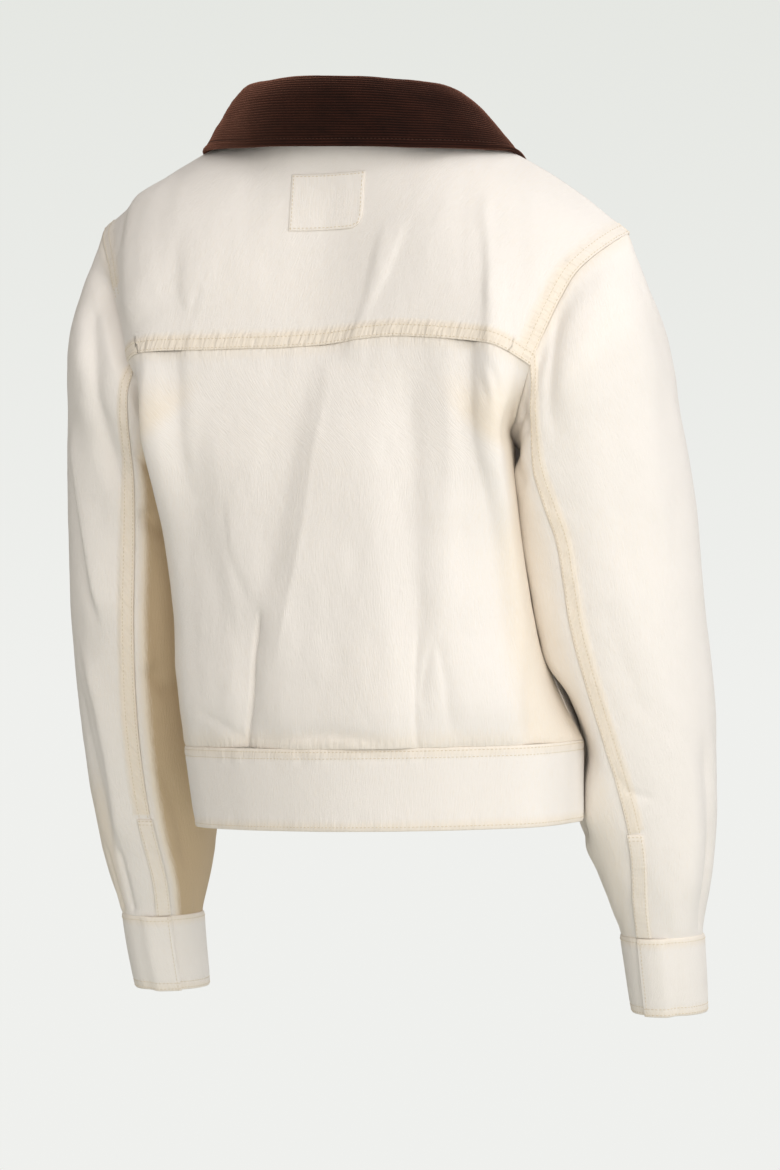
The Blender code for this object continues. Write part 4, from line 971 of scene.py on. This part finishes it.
def shapeSleeve(word, part, edge):
    piece, own, look = fine[f"sleeve_{part}_{word}"], sleeveSides[word], sleeveLook
    seed, z = own["seed"], piece.grid[..., 2]
    beside, cap, foot = piece.dist[edge], piece.dist["bottom"], piece.dist["top"]
    piece.uv[..., 0] = beside * (-1 if part == "top" else 1)
    a = piece.uv[..., 0] / mm
    piece.rise += foldRise(a, z / mm, sleeveFolds[word], own["mirror"])
    piece.rise += crumple(a, z / mm, (0.8, 45, 60, seed), (0.5, 15, 28, seed + 1), (0.16, 6, 12, seed + 3))
    piece.rise *= smooth(cap / mm / look["fadeIn"]) * smooth(foot / mm / look["fadeOut"])
    if part == "top":
        near = beside + (1 - ramp(z, *look["placketFrom"])) * pastBand
        piece.rise += felledEdge(near, z, depth=0.55, seed=seed + 2)
        piece.stainAndShade(seamTone(near))
        piece.ruck = 0.35 * seamTone(near, 10, 7)
    else:  # painted shade, darker and warmer on the under panel where the body shades it
        piece.rise += puckers(beside, z, depth=0.35, pitch=9, reach=8, seed=seed + 2, band=1.5)
        piece.rise += groove(beside)
        inside = ramp(a, *look["underArmShadeFrom"]) * ramp(a, *look["underArmShadeTo"])
        piece.stainAndShade(own["underArmShade"] * inside * ramp(z, *look["underArmShadeBelow"]))
        piece.ruck = 0.3 * seamTone(beside, 1, 7)
    piece.seamBy(edge)
    if word == "left":  # and deep yellow outside, above the cuff's tucks: partly the cloth's own discoloration, partly painted warm shade
        outside = ramp(a, *look["stainAndShadeFrom"]) * ramp(a, *look["stainAndShadeTo"])
        piece.stainAndShade(0.9 * outside * ramp(z, *look["stainAndShadeBelow"]))
    piece.stainAndShade(0.5 * seamTone(cap, 2, 12))
    piece.rise += groove(cap)
    cap, foot = cap / mm, foot / mm
    gathers = noiseLine(a, look["gatherPitch"], seed + 5) * np.exp(-(foot / look["gatherReach"]) ** 2)
    drawn = noiseLine(z / mm, look["drawnPitch"], own["capSeed"]) * np.exp(-cap / look["drawnReach"])
    hollow = np.exp(-((cap - look["hollowAt"]) / look["hollowWidth"]) ** 2)  # it falls away behind the seam
    hollow *= ramp(z, *look["hollowBelow"]) * smooth(piece.normal[..., 1] * 3)
    piece.rise += mm * look["gathers"] * gathers * smooth(foot / look["gatherFrom"])
    piece.rise += mm * look["drawn"] * drawn * smooth(cap / look["drawnFrom"])
    piece.rise -= mm * own["hollow"] * hollow * smooth(cap / look["hollowFrom"])


def shapeBands():
    for name, depth in bandLook["depths"]:
        piece = fine[name]
        run = piece.dist["start"] / mm
        piece.rise += crumple(run, piece.grid[..., 2] / mm, (0.5, 60, 40, 51))
        for edge, seed in (("bottom", 52), ("top", 53)):
            near = piece.dist[edge] / mm
            ripple = noiseLine(run + near * bandLook["slant"], bandLook["pitch"], seed)
            piece.rise += mm * depth * ripple * np.exp(-((near - bandLook["at"]) / bandLook["width"]) ** 2)
            piece.rise -= mm * bandLook["edge"] * (1 - smooth(near / bandLook["edgeOver"]))
            piece.stainAndShade(0.7 * seamTone(piece.dist[edge], 3, 8))
            piece.ruck = np.maximum(piece.ruck, 0.4 * seamTone(piece.dist[edge], 6, 9))
        piece.rise += stitchDip(piece.dist["bottom"], (bandLook["hemRow"],))
        piece.rise += stitchDip(piece.dist["top"], bandLook["topRows"])


def bandRows(piece):
    return rowsAt(piece, "top", *bandLook["topRows"]) + rowsAt(piece, "bottom", bandLook["hemRow"])


shapeBack()
shapeFronts()
for word in ("left", "right"):
    shapeSleeve(word, "top", "end")
    shapeSleeve(word, "under", "start")
shapeBands()
print("relief shaped")

# The cut of each piece in metres, and its flat area where it isn't near a rectangle
flatSizes = {
    "back_panel": ((0.47, 0.32), None), "back_yoke": ((0.47, 0.20), 0.080), "front": ((0.245, 0.44), 0.098),
    "hem_band": ((0.86, 0.066), None), "cuff": ((0.27, 0.066), None),
    "sleeve_top": ((0.27, 0.60), 0.125), "sleeve_under": ((0.18, 0.47), 0.072),
}
for name, piece in fine.items():
    addCloth(name, piece, *next(flatSizes[cut] for cut in flatSizes if name.startswith(cut)))

yoke, hem = fine["back_yoke"], fine["hem_band"]
stitchMesh("stitches_body", rowsAt(yoke, "bottom", *felling["rows"]) + rowsAt(yoke, "start", *felling["rows"])
           + rowsAt(yoke, "end", *felling["rows"], span=(0.34, 1.0)) + bandRows(hem))
rowsOfStitches = []
for word in ("left", "right"):
    edge = fine[f"cuff_{word}"]
    rowsOfStitches += rowsAt(fine[f"sleeve_top_{word}"], "end", *felling["rows"], span=(0.0, 0.84))
    rowsOfStitches += bandRows(edge) + rowsAt(edge, "end", 3.0)
stitchMesh("stitches_sleeves", rowsOfStitches)
print("cloth and stitches made")

# Plackets: strips made from the points of the cloth they lie on
placket = {
    "sleeveTop": -557, "half": 18, "neckClear": 9, "thick": 1.3, "soft": 0.5, "roundOver": 1.2,
    "across": (-1.5, -0.7, 0.4, 2, 4, 6, 8, 9.6, 10.5, 11), "sleeveRow": 1.8, "headBars": (1.5, 4.5),
    "frontRow": 2.5, "sleeveUneven": 0.25, "frontUneven": 0.35,
}


def stripOn(rows, distances):  # rows of (points, facing) as lines, read at distances along each
    points, facing = [], []
    for line, normal in rows:
        run = running(line)
        past = np.clip(-distances, 0, None)[:, None]
        points.append(readAt(distances, run, line) + past * unit(line[0] - line[3]))
        facing.append(readAt(distances, run, normal))
    return np.stack(points), np.stack(facing)


def layOn(points, facing, turn, thick, soft=placket["soft"]):  # a piece lying on the cloth, its edges rounded
    piece = Cloth(points, turn, thick * mm, facing)
    piece.grid = piece.grid + facing * (cloth["layGap"] + thick) * mm
    near = piece.near("start", "end", "bottom", "top") / mm
    piece.rise -= soft * mm * (1 - smooth(near / placket["roundOver"]))
    return piece


def sleevePlacket(side, word):
    top = fine[f"sleeve_top_{word}"]
    skin = top.skin()
    keep = [r for r in range(len(skin)) if top.grid[r, -1, 2] < placket["sleeveTop"] * mm][:-1]
    lines = [(skin[r, ::-1], top.normal[r, ::-1]) for r in keep]
    strip = layOn(*stripOn(lines, metres(placket["across"])), -side, placket["thick"])
    uneven = noiseLine(strip.grid[..., 2] / mm, 8, 61) * smooth(strip.dist["start"] / mm / 3)
    strip.rise += placket["sleeveUneven"] * mm * uneven
    strip.mark[:] = 0.6
    strip.seam = strip.uv[..., ::-1].copy()
    strip.ruck[:] = 0.3
    addCloth(f"sleeve_placket_{word}", strip, (0.0125, 0.088), held="laid")
    row = placket["sleeveRow"]
    stitchMesh(f"stitches_placket_{word}", rowsAt(strip, "start", row) + rowsAt(strip, "end", row)
               + rowsAt(strip, "bottom", *placket["headBars"]))


def frontPlacket():
    left, right = fine["front_left"], fine["front_right"]
    skinLeft, skinRight = left.skin(), right.skin()
    run = left.dist["top"][:, 0]
    keep = [r for r in range(2, len(skinLeft)) if run[r] > placket["neckClear"] * mm]
    distances = np.linspace(0, placket["half"], 8) * mm
    onLeft = stripOn([(skinLeft[r], left.normal[r]) for r in keep], distances)
    onRight = stripOn([(skinRight[r, ::-1], right.normal[r, ::-1]) for r in keep], distances)
    points, facing = (np.concatenate((b[:, :0:-1], a), axis=1) for a, b in zip(onLeft, onRight))
    strip = layOn(points, facing, -1, placket["thick"])
    near = strip.near("start", "end")
    uneven = noiseLine(strip.grid[..., 2] / mm, 10, 62) * smooth(near / mm / 4)
    strip.rise += placket["frontUneven"] * mm * uneven
    strip.stainAndShade(0.5 * seamTone(near, 3, 6))
    strip.seam = strip.uv[..., ::-1].copy()
    strip.ruck = 0.6 * seamTone(near, 4, 5)
    addCloth("front_placket", strip, (0.038, 0.395), held="laid")
    row = placket["frontRow"]
    stitchMesh("stitches_front", rowsAt(strip, "start", row) + rowsAt(strip, "end", row))
    return strip


for side, word in sides:
    sleevePlacket(side, word)
cover = frontPlacket()
print("plackets made")

patch = {
    "width": 62, "height": 45, "thick": 0.9, "middle": (-0.5, -61.5), "turn": -1.5, "corner": 9, "pull": 0.32,
    "bow": 0.6, "soft": 0.45, "stitches": 2, "uneven": 0.3, "unevenAt": 4, "unevenWidth": 3,
}


def neckPatch():  # a blank sewn patch, one corner a little pulled
    tree = treeOf(yoke, skins=True)
    width, height, corner = patch["width"], patch["height"], patch["corner"]
    across = np.concatenate(((-0.5, -0.49), np.linspace(-0.47, 0.47, 26), (0.49, 0.5)))
    up = np.concatenate(((-0.5, -0.485), np.linspace(-0.46, 0.46, 20), (0.485, 0.5)))
    cos, sin = math.cos(math.radians(patch["turn"])), math.sin(math.radians(patch["turn"]))
    points, facing = [], []
    for v in up:
        for u in across:
            beyond = max(0.0, corner - (0.5 - u) * width)
            below = max(0.0, corner - (0.5 + v) * height)
            pull = beyond * below / corner * patch["pull"]
            x, z = pull - u * width, pull + v * height
            x, z = x * cos - z * sin, x * sin + z * cos - patch["bow"] * math.cos(math.pi * u)
            above = ((x + patch["middle"][0]) * mm, 1.0, (z + patch["middle"][1]) * mm)
            spot, normal, _, _ = tree.ray_cast(above, (0, -1, 0))
            points.append(spot)
            facing.append(normal)
    shape = (len(up), len(across), 3)
    piece = layOn(np.reshape(points, shape), np.reshape(facing, shape), -1, patch["thick"], patch["soft"])
    near = piece.near("start", "end", "bottom", "top")
    uneven = crumple(piece.grid[..., 0] / mm, piece.grid[..., 2] / mm, (patch["uneven"], 9, 9, 71))
    piece.rise += uneven * np.exp(-((near / mm - patch["unevenAt"]) / patch["unevenWidth"]) ** 2)
    piece.mark = 0.12 + 0.25 * seamTone(near, 0.8, 1.5)
    addCloth("neck_patch", piece, (0.064, 0.047), held="laid")
    stitchMesh("stitches_patch", sum((rowsAt(piece, edge, patch["stitches"]) for edge in piece.dist), []))


neckPatch()
print("patch made")

# Collar: lines in mm from the centre front end round to the centre back, both sides alike
collar = {
    "fold": ((16, -84, -65), (78, -42, -14), (90, 14, 26), (54, 52, 33), (0, 69, 35)),
    "edge": ((66, -121, -130), (124, -62, -62), (134, 6, -22), (71, 65, -19.5), (0, 77, -19.5)),
    "foldHalf": 3.6, "foldDrop": 4.4, "bulge": 2.5, "clear": 2.6, "endStep": 0.3, "gap": 0.36, "half": 0.17,
    "sunk": 0.8, "foot": 1.3,
    "rows": (0, 0.67, 1.33, 2, 2.35, 2.7, 3, 3.35, 3.7, 4, 4.35, 4.7, 5, 5.35, 5.7, 6),
    "wale": 2.1, "waleRise": 0.62, "thick": 1.35, "under": 1.0, "topstitch": 6, "spacing": (3.6, 4.0),
}


def collarLine(half, places):
    half = metres(half)
    full = np.concatenate((half * (-1, 1, 1), half[-2::-1]))
    return lean(spline(np.arange(len(full)), full, places))


def neckSeam():
    right, left, yoke = pieces["front_right"], pieces["front_left"], pieces["back_yoke"]
    middle, steps = yoke.grid.shape[1] // 2, body["neckSteps"]

    def joined(values):
        nape = values(yoke)[middle - steps:middle + steps + 1]
        return np.concatenate((values(right)[::-1][:steps + 1], nape[1:-1], values(left)[:steps + 1][::-1]))

    seam, facing = joined(lambda p: p.grid[-1]), joined(lambda p: p.normal[-1])
    rise = unit(joined(lambda p: p.grid[-1] - p.grid[-2]))
    seam[0] += (seam[1] - seam[0]) * collar["endStep"]
    seam[-1] += (seam[-2] - seam[-1]) * collar["endStep"]
    return seam - facing * collar["sunk"] * mm + rise * collar["gap"] * mm, facing


def collarPiece():
    base, facing = neckSeam()
    places = np.linspace(0, 8, len(base))
    fold, edge = collarLine(collar["fold"], places), collarLine(collar["edge"], places)
    down = unit(edge - fold)
    level = unit(down * (1, 1, 0))
    half, drop = collar["foldHalf"] * mm, collar["foldDrop"] * mm
    standTop = fold - level * half - np.array((0, 0, drop))
    stand = unit(standTop - base)
    sunk = np.abs((facing * stand).sum(axis=1, keepdims=True)) * collar["sunk"]
    base += stand * (sunk + collar["gap"]) * mm
    under = [pieces[name] for name in ("back_yoke", "front_left", "front_right")]
    corner = (base + unit(np.cross(stand, np.gradient(base, axis=0))) * collar["foot"] * mm)[None]
    base += (settle(corner.copy(), treeOf(*under), collar["gap"] * mm) - corner)[0]
    foldOut = fold + level * half + down * drop
    face = -unit(np.cross(down, np.gradient(edge, axis=0)))
    middle = (foldOut + edge) / 2 + face * collar["bulge"] * mm
    controls = np.stack((base, (base + standTop) / 2, standTop, fold, foldOut, middle, edge))
    grid = respaced(controls, collar["rows"])
    tree = treeOf(*under, Cloth(cover.grid[::4, ::3], -1))
    grid[-6:] = settle(grid[-6:], tree, collar["clear"] * mm)
    return Cloth(grid, -1)


def buildCollar():
    rough = collarPiece()
    upper = refine(rough, collar["spacing"][0], columnsNear=((0.8, 2.0), (0.8, 2.0)))
    knots = running(upper.grid)
    at = np.linspace(0, knots[-1], int(4 * round(knots[-1] / (collar["wale"] * mm))) + 1)
    both = spline(knots, np.concatenate((upper.grid, upper.normal), axis=2), at)
    upper = Cloth(both[..., :3], -1, collar["thick"] * mm, unit(both[..., 3:]))
    run, fromEdge = upper.dist["start"] / mm, upper.dist["top"] / mm
    wale = 0.5 - 0.5 * np.cos(2 * np.pi * (fromEdge + 0.35 * noiseLine(run, 30, 83)) / collar["wale"])
    near = upper.near("start", "end", "top") / mm
    worn = 0.75 + crumple(run, fromEdge, (0.15, 14, 5, 84), (0.2, 4.5, 2.1, 85)) / mm
    upper.rise += collar["waleRise"] * mm * wale**0.8 * smooth((near - 0.3) / 1.2) * worn
    upper.rise += crumple(run, fromEdge, (0.7, 42, 28, 81), (0.25, 15, 12, 82))
    upper.rise += stitchDip(near * mm, (collar["topstitch"],), 0.3, 0.8) - 0.6 * mm * (1 - smooth(near / 1.5))
    # painted shade: the tone is darker in the grooves between the wales and lighter on their crests, uneven
    # with the worn nap
    upper.mark = wale * worn
    upper.grid = upper.grid + upper.normal * (collar["half"] * mm + upper.thick)
    upper.uv = np.stack((run, fromEdge), axis=2) * mm
    addCloth("collar_upper", upper, (0.50, 0.115), None, "folded", brownCord, "brown_corduroy")
    under = refine(rough, collar["spacing"][1])
    under.thick = collar["under"] * mm
    under.grid = under.grid - under.normal * collar["half"] * mm
    under.mark[:] = 0.1
    addCloth("collar_under", under, (0.50, 0.11), None, "folded", brownCord, "brown_corduroy")
    rows = sum((rowsAt(upper, edge, collar["topstitch"], lift=0.25) for edge in ("top", "start", "end")), [])
    stitchMesh("stitches_collar", rows, brownThread, "brown_corduroy")


buildCollar()
print("collar made")

# Buttons: one turned and drilled, then copied down the front. A step insets the face and moves it up
button = {
    "radius": 8.5, "thick": 3.0, "holeAway": 1.7, "hole": 0.75, "levels": (-118, -200, -282, -364, -446),
    "steps": ((1.6, 0.35), (1.1, -1.2), (2.2, -0.15)), "bevel": 0.5, "onBand": (0.032, 0.020),
    "thread": 0.35, "strand": ((0.0, -0.9), (0.15, 0.15), (0.5, 0.35), (0.85, 0.15), (1.0, -0.9)),
    "threadLift": 2.2, "threadReach": 0.72, "threadSides": 6,
}


def turnedButton():
    bpy.ops.object.select_all(action="DESELECT")
    radius, thick = button["radius"] * mm, button["thick"] * mm
    bpy.ops.mesh.primitive_cylinder_add(vertices=48, radius=radius, depth=thick, location=(0, 0, thick / 2))
    made = bpy.context.active_object
    bpy.ops.object.transform_apply(location=True, rotation=True, scale=True)
    bpy.ops.object.mode_set(mode="EDIT")
    bpy.ops.mesh.select_mode(type="FACE")
    bpy.ops.mesh.select_all(action="DESELECT")
    bpy.ops.object.mode_set(mode="OBJECT")
    for face in made.data.polygons:
        face.select = face.normal.z > 0.9
    bpy.ops.object.mode_set(mode="EDIT")
    for inset, up in button["steps"]:
        bpy.ops.mesh.inset(thickness=inset * mm)
        bpy.ops.transform.translate(value=(0, 0, up * mm))
    bpy.ops.object.mode_set(mode="OBJECT")
    bevel = made.modifiers.new("edge", "BEVEL")
    bevel.width, bevel.segments, bevel.limit_method = button["bevel"] * mm, 3, "ANGLE"
    bpy.ops.object.modifier_apply(modifier=bevel.name)
    for n in range(4):
        angle, away, hole = math.radians(45 + 90 * n), button["holeAway"] * mm, button["hole"] * mm
        place = (math.cos(angle) * away, math.sin(angle) * away, 0)
        bpy.ops.object.select_all(action="DESELECT")
        bpy.ops.mesh.primitive_cylinder_add(vertices=16, radius=hole, depth=4 * thick, location=place)
        drill = bpy.context.active_object
        bpy.context.view_layer.objects.active = made
        cut = made.modifiers.new("hole", "BOOLEAN")
        cut.object = drill
        bpy.ops.object.modifier_apply(modifier=cut.name)
        bpy.data.objects.remove(drill, do_unlink=True)
    bpy.ops.object.select_all(action="DESELECT")
    made.select_set(True)
    bpy.ops.object.shade_smooth_by_angle(angle=math.radians(35))
    made.data.materials.append(buttonHorn)
    return made


def threadCross(name, spot, across, up, out):  # the four strands through the holes
    reach, count = button["holeAway"] * mm * button["threadReach"], button["threadSides"]
    points, faces = [], []
    for p, q in (((1, 1), (-1, -1)), ((1, -1), (-1, 1))):
        a, b = (spot + (across * s + up * t) * reach for s, t in (p, q))
        side = np.cross(unit(b - a), out)
        first = len(points)
        for part, lift in button["strand"]:
            middle = a + (b - a) * part + out * lift * mm
            for k in range(count):
                turn = 2 * math.pi / count * k
                points.append(middle + (side * math.cos(turn) + out * math.sin(turn)) * button["thread"] * mm)
        index = first + np.arange(len(points) - first).reshape(-1, count)
        faces += gridFaces(np.concatenate((index, index[:, :1]), axis=1), False).tolist()
        faces += [index[0, ::-1].tolist(), index[-1].tolist()]
    addMesh(name, np.array(points), faces, creamThread, "cream_twill")


def placeButtons():
    model = turnedButton()
    middle = cover.grid.shape[1] // 2
    line, facing = cover.skin()[:, middle], cover.normal[:, middle]
    spots = []
    for n, level in enumerate(button["levels"]):
        spot, out = (readAt(level * mm, line[:, 2], values) for values in (line, facing))
        spots.append((f"button_{n + 1}", spot, unit(out)))
    fromBottom, fromEnd = button["onBand"]
    row = int(np.argmin(np.abs(hem.dist["bottom"][:, -1] - fromBottom)))
    column = int(np.argmin(np.abs(hem.dist["end"][row] - fromEnd)))
    spots.append(("band_button", hem.skin()[row, column], hem.normal[row, column]))
    for name, spot, out in spots:
        across = unit(np.cross(np.array((0.0, 0, 1)), out))
        up = np.cross(out, across)
        copy = model.copy()
        copy.data = model.data.copy()
        copy.name = name + "_piece"
        bpy.context.scene.collection.objects.link(copy)
        for vertex in copy.data.vertices:
            x, y, z = vertex.co
            vertex.co = Vector(spot + across * x + up * y + out * (z + cloth["layGap"] * mm))
        copy.data.update()
        finishPiece(copy, "button", name)
        top = spot + out * (cloth["layGap"] + button["threadLift"]) * mm
        threadCross(name + "_thread", top, across, up, out)
    bpy.data.objects.remove(model, do_unlink=True)


placeButtons()
print("buttons made")

# Camera and light: places are across, nearer the camera and up, in metres
view = {
    "distance": 3.3, "azimuth": 203.0, "level": -0.28, "aimRight": 0.024, "aimLevel": -0.364,
    "focalPixels": 4125.0, "frameHeight": 1170.0,
}
light = {
    "side": (1.0, 0.75, 0.45), "sideSpread": (-0.7, 0.9), "highSpread": (-0.05, 0.12), "aimLevel": -0.33,
    "dim": (0.3300, 0.3003, 0.2574), "full": (0.8865, 0.8865, 0.9),
    "low": (0.865, 0.872, 0.85), "high": (0.785, 0.80, 0.765),
    "lamps": (("key", (1.6, 1.8, 2.0), 1.7, 17.5, (1.0, 0.985, 0.95)),
              ("fill", (0.4, 2.7, 0.6), 2.2, 26.5, (1.0, 0.95, 0.87))),
}
azimuth = math.radians(view["azimuth"])
toCamera = Vector((math.sin(azimuth), -math.cos(azimuth), 0))
right = Vector((math.cos(azimuth), math.sin(azimuth), 0))


def aimed(name, data, place, target):
    made = bpy.data.objects.new(name, data)
    made.location = place
    made.rotation_euler = (target - place).to_track_quat("-Z", "Y").to_euler()
    bpy.context.scene.collection.objects.link(made)
    return made


def addCamera():
    data = bpy.data.cameras.new("camera")
    data.sensor_width = 36
    data.lens = view["focalPixels"] / view["frameHeight"] * data.sensor_width
    place = toCamera * view["distance"] + Vector((0, 0, view["level"]))
    target = right * view["aimRight"] + Vector((0, 0, view["aimLevel"]))
    bpy.context.scene.camera = aimed("camera", data, place, target)


def fromAim(across, near, above):
    return right * across + toCamera * near + Vector((0, 0, above))


def studioWorld():  # a pale backdrop, darker towards the top, and a light all round, fuller from one side
    world = bpy.data.worlds.new("studio")
    world.use_nodes = True
    nodes, links = world.node_tree.nodes, world.node_tree.links
    shade = nodes["Background"]
    generated = nodes.new("ShaderNodeTexCoord").outputs["Generated"]

    def graded(value, spread, low, high):
        part = nodes.new("ShaderNodeMapRange")
        part.inputs["From Min"].default_value, part.inputs["From Max"].default_value = spread
        links.new(value, part.inputs["Value"])
        return rampNode(nodes, links, part.outputs[0], ((0.0, low), (1.0, high)))

    dot = nodes.new("ShaderNodeVectorMath")
    dot.operation = "DOT_PRODUCT"
    dot.inputs[1].default_value = fromAim(*light["side"]).normalized()
    links.new(generated, dot.inputs[0])
    around = graded(dot.outputs["Value"], light["sideSpread"], light["dim"], light["full"])
    links.new(around, shade.inputs["Color"])
    split = nodes.new("ShaderNodeSeparateXYZ")
    links.new(generated, split.inputs[0])
    backdrop = nodes.new("ShaderNodeBackground")
    upward = graded(split.outputs[2], light["highSpread"], light["low"], light["high"])
    links.new(upward, backdrop.inputs["Color"])
    mix = nodes.new("ShaderNodeMixShader")
    links.new(nodes.new("ShaderNodeLightPath").outputs["Is Camera Ray"], mix.inputs[0])
    links.new(shade.outputs[0], mix.inputs[1])
    links.new(backdrop.outputs[0], mix.inputs[2])
    links.new(mix.outputs[0], nodes["World Output"].inputs["Surface"])
    bpy.context.scene.world = world


addCamera()
aim = Vector((0, 0, light["aimLevel"]))
for name, place, size, power, colour in light["lamps"]:
    data = bpy.data.lights.new(name, "AREA")
    data.shape, data.size, data.energy, data.color = "DISK", size, power, colour
    aimed(name, data, aim + fromAim(*place), aim)
studioWorld()
bpy.context.scene.view_settings.view_transform = "Standard"

bpy.ops.object.select_all(action="DESELECT")
ground = {"radius": 3.0, "level": -1.38, "dark": (0.70, 0.73, 0.69), "light": (0.73, 0.76, 0.72)}
bpy.ops.mesh.primitive_circle_add(vertices=96, radius=ground["radius"], fill_type="NGON",
                                  location=(0, 0, ground["level"]))
floor = bpy.context.active_object
floor.name = "floor"
floor.data.materials.append(plainMaterial("floor", ground["dark"], ground["light"], 0.9, 3.0, 0.02))
bpy.ops.object.transform_apply(location=True, rotation=True, scale=True)
print("camera, light and floor made")
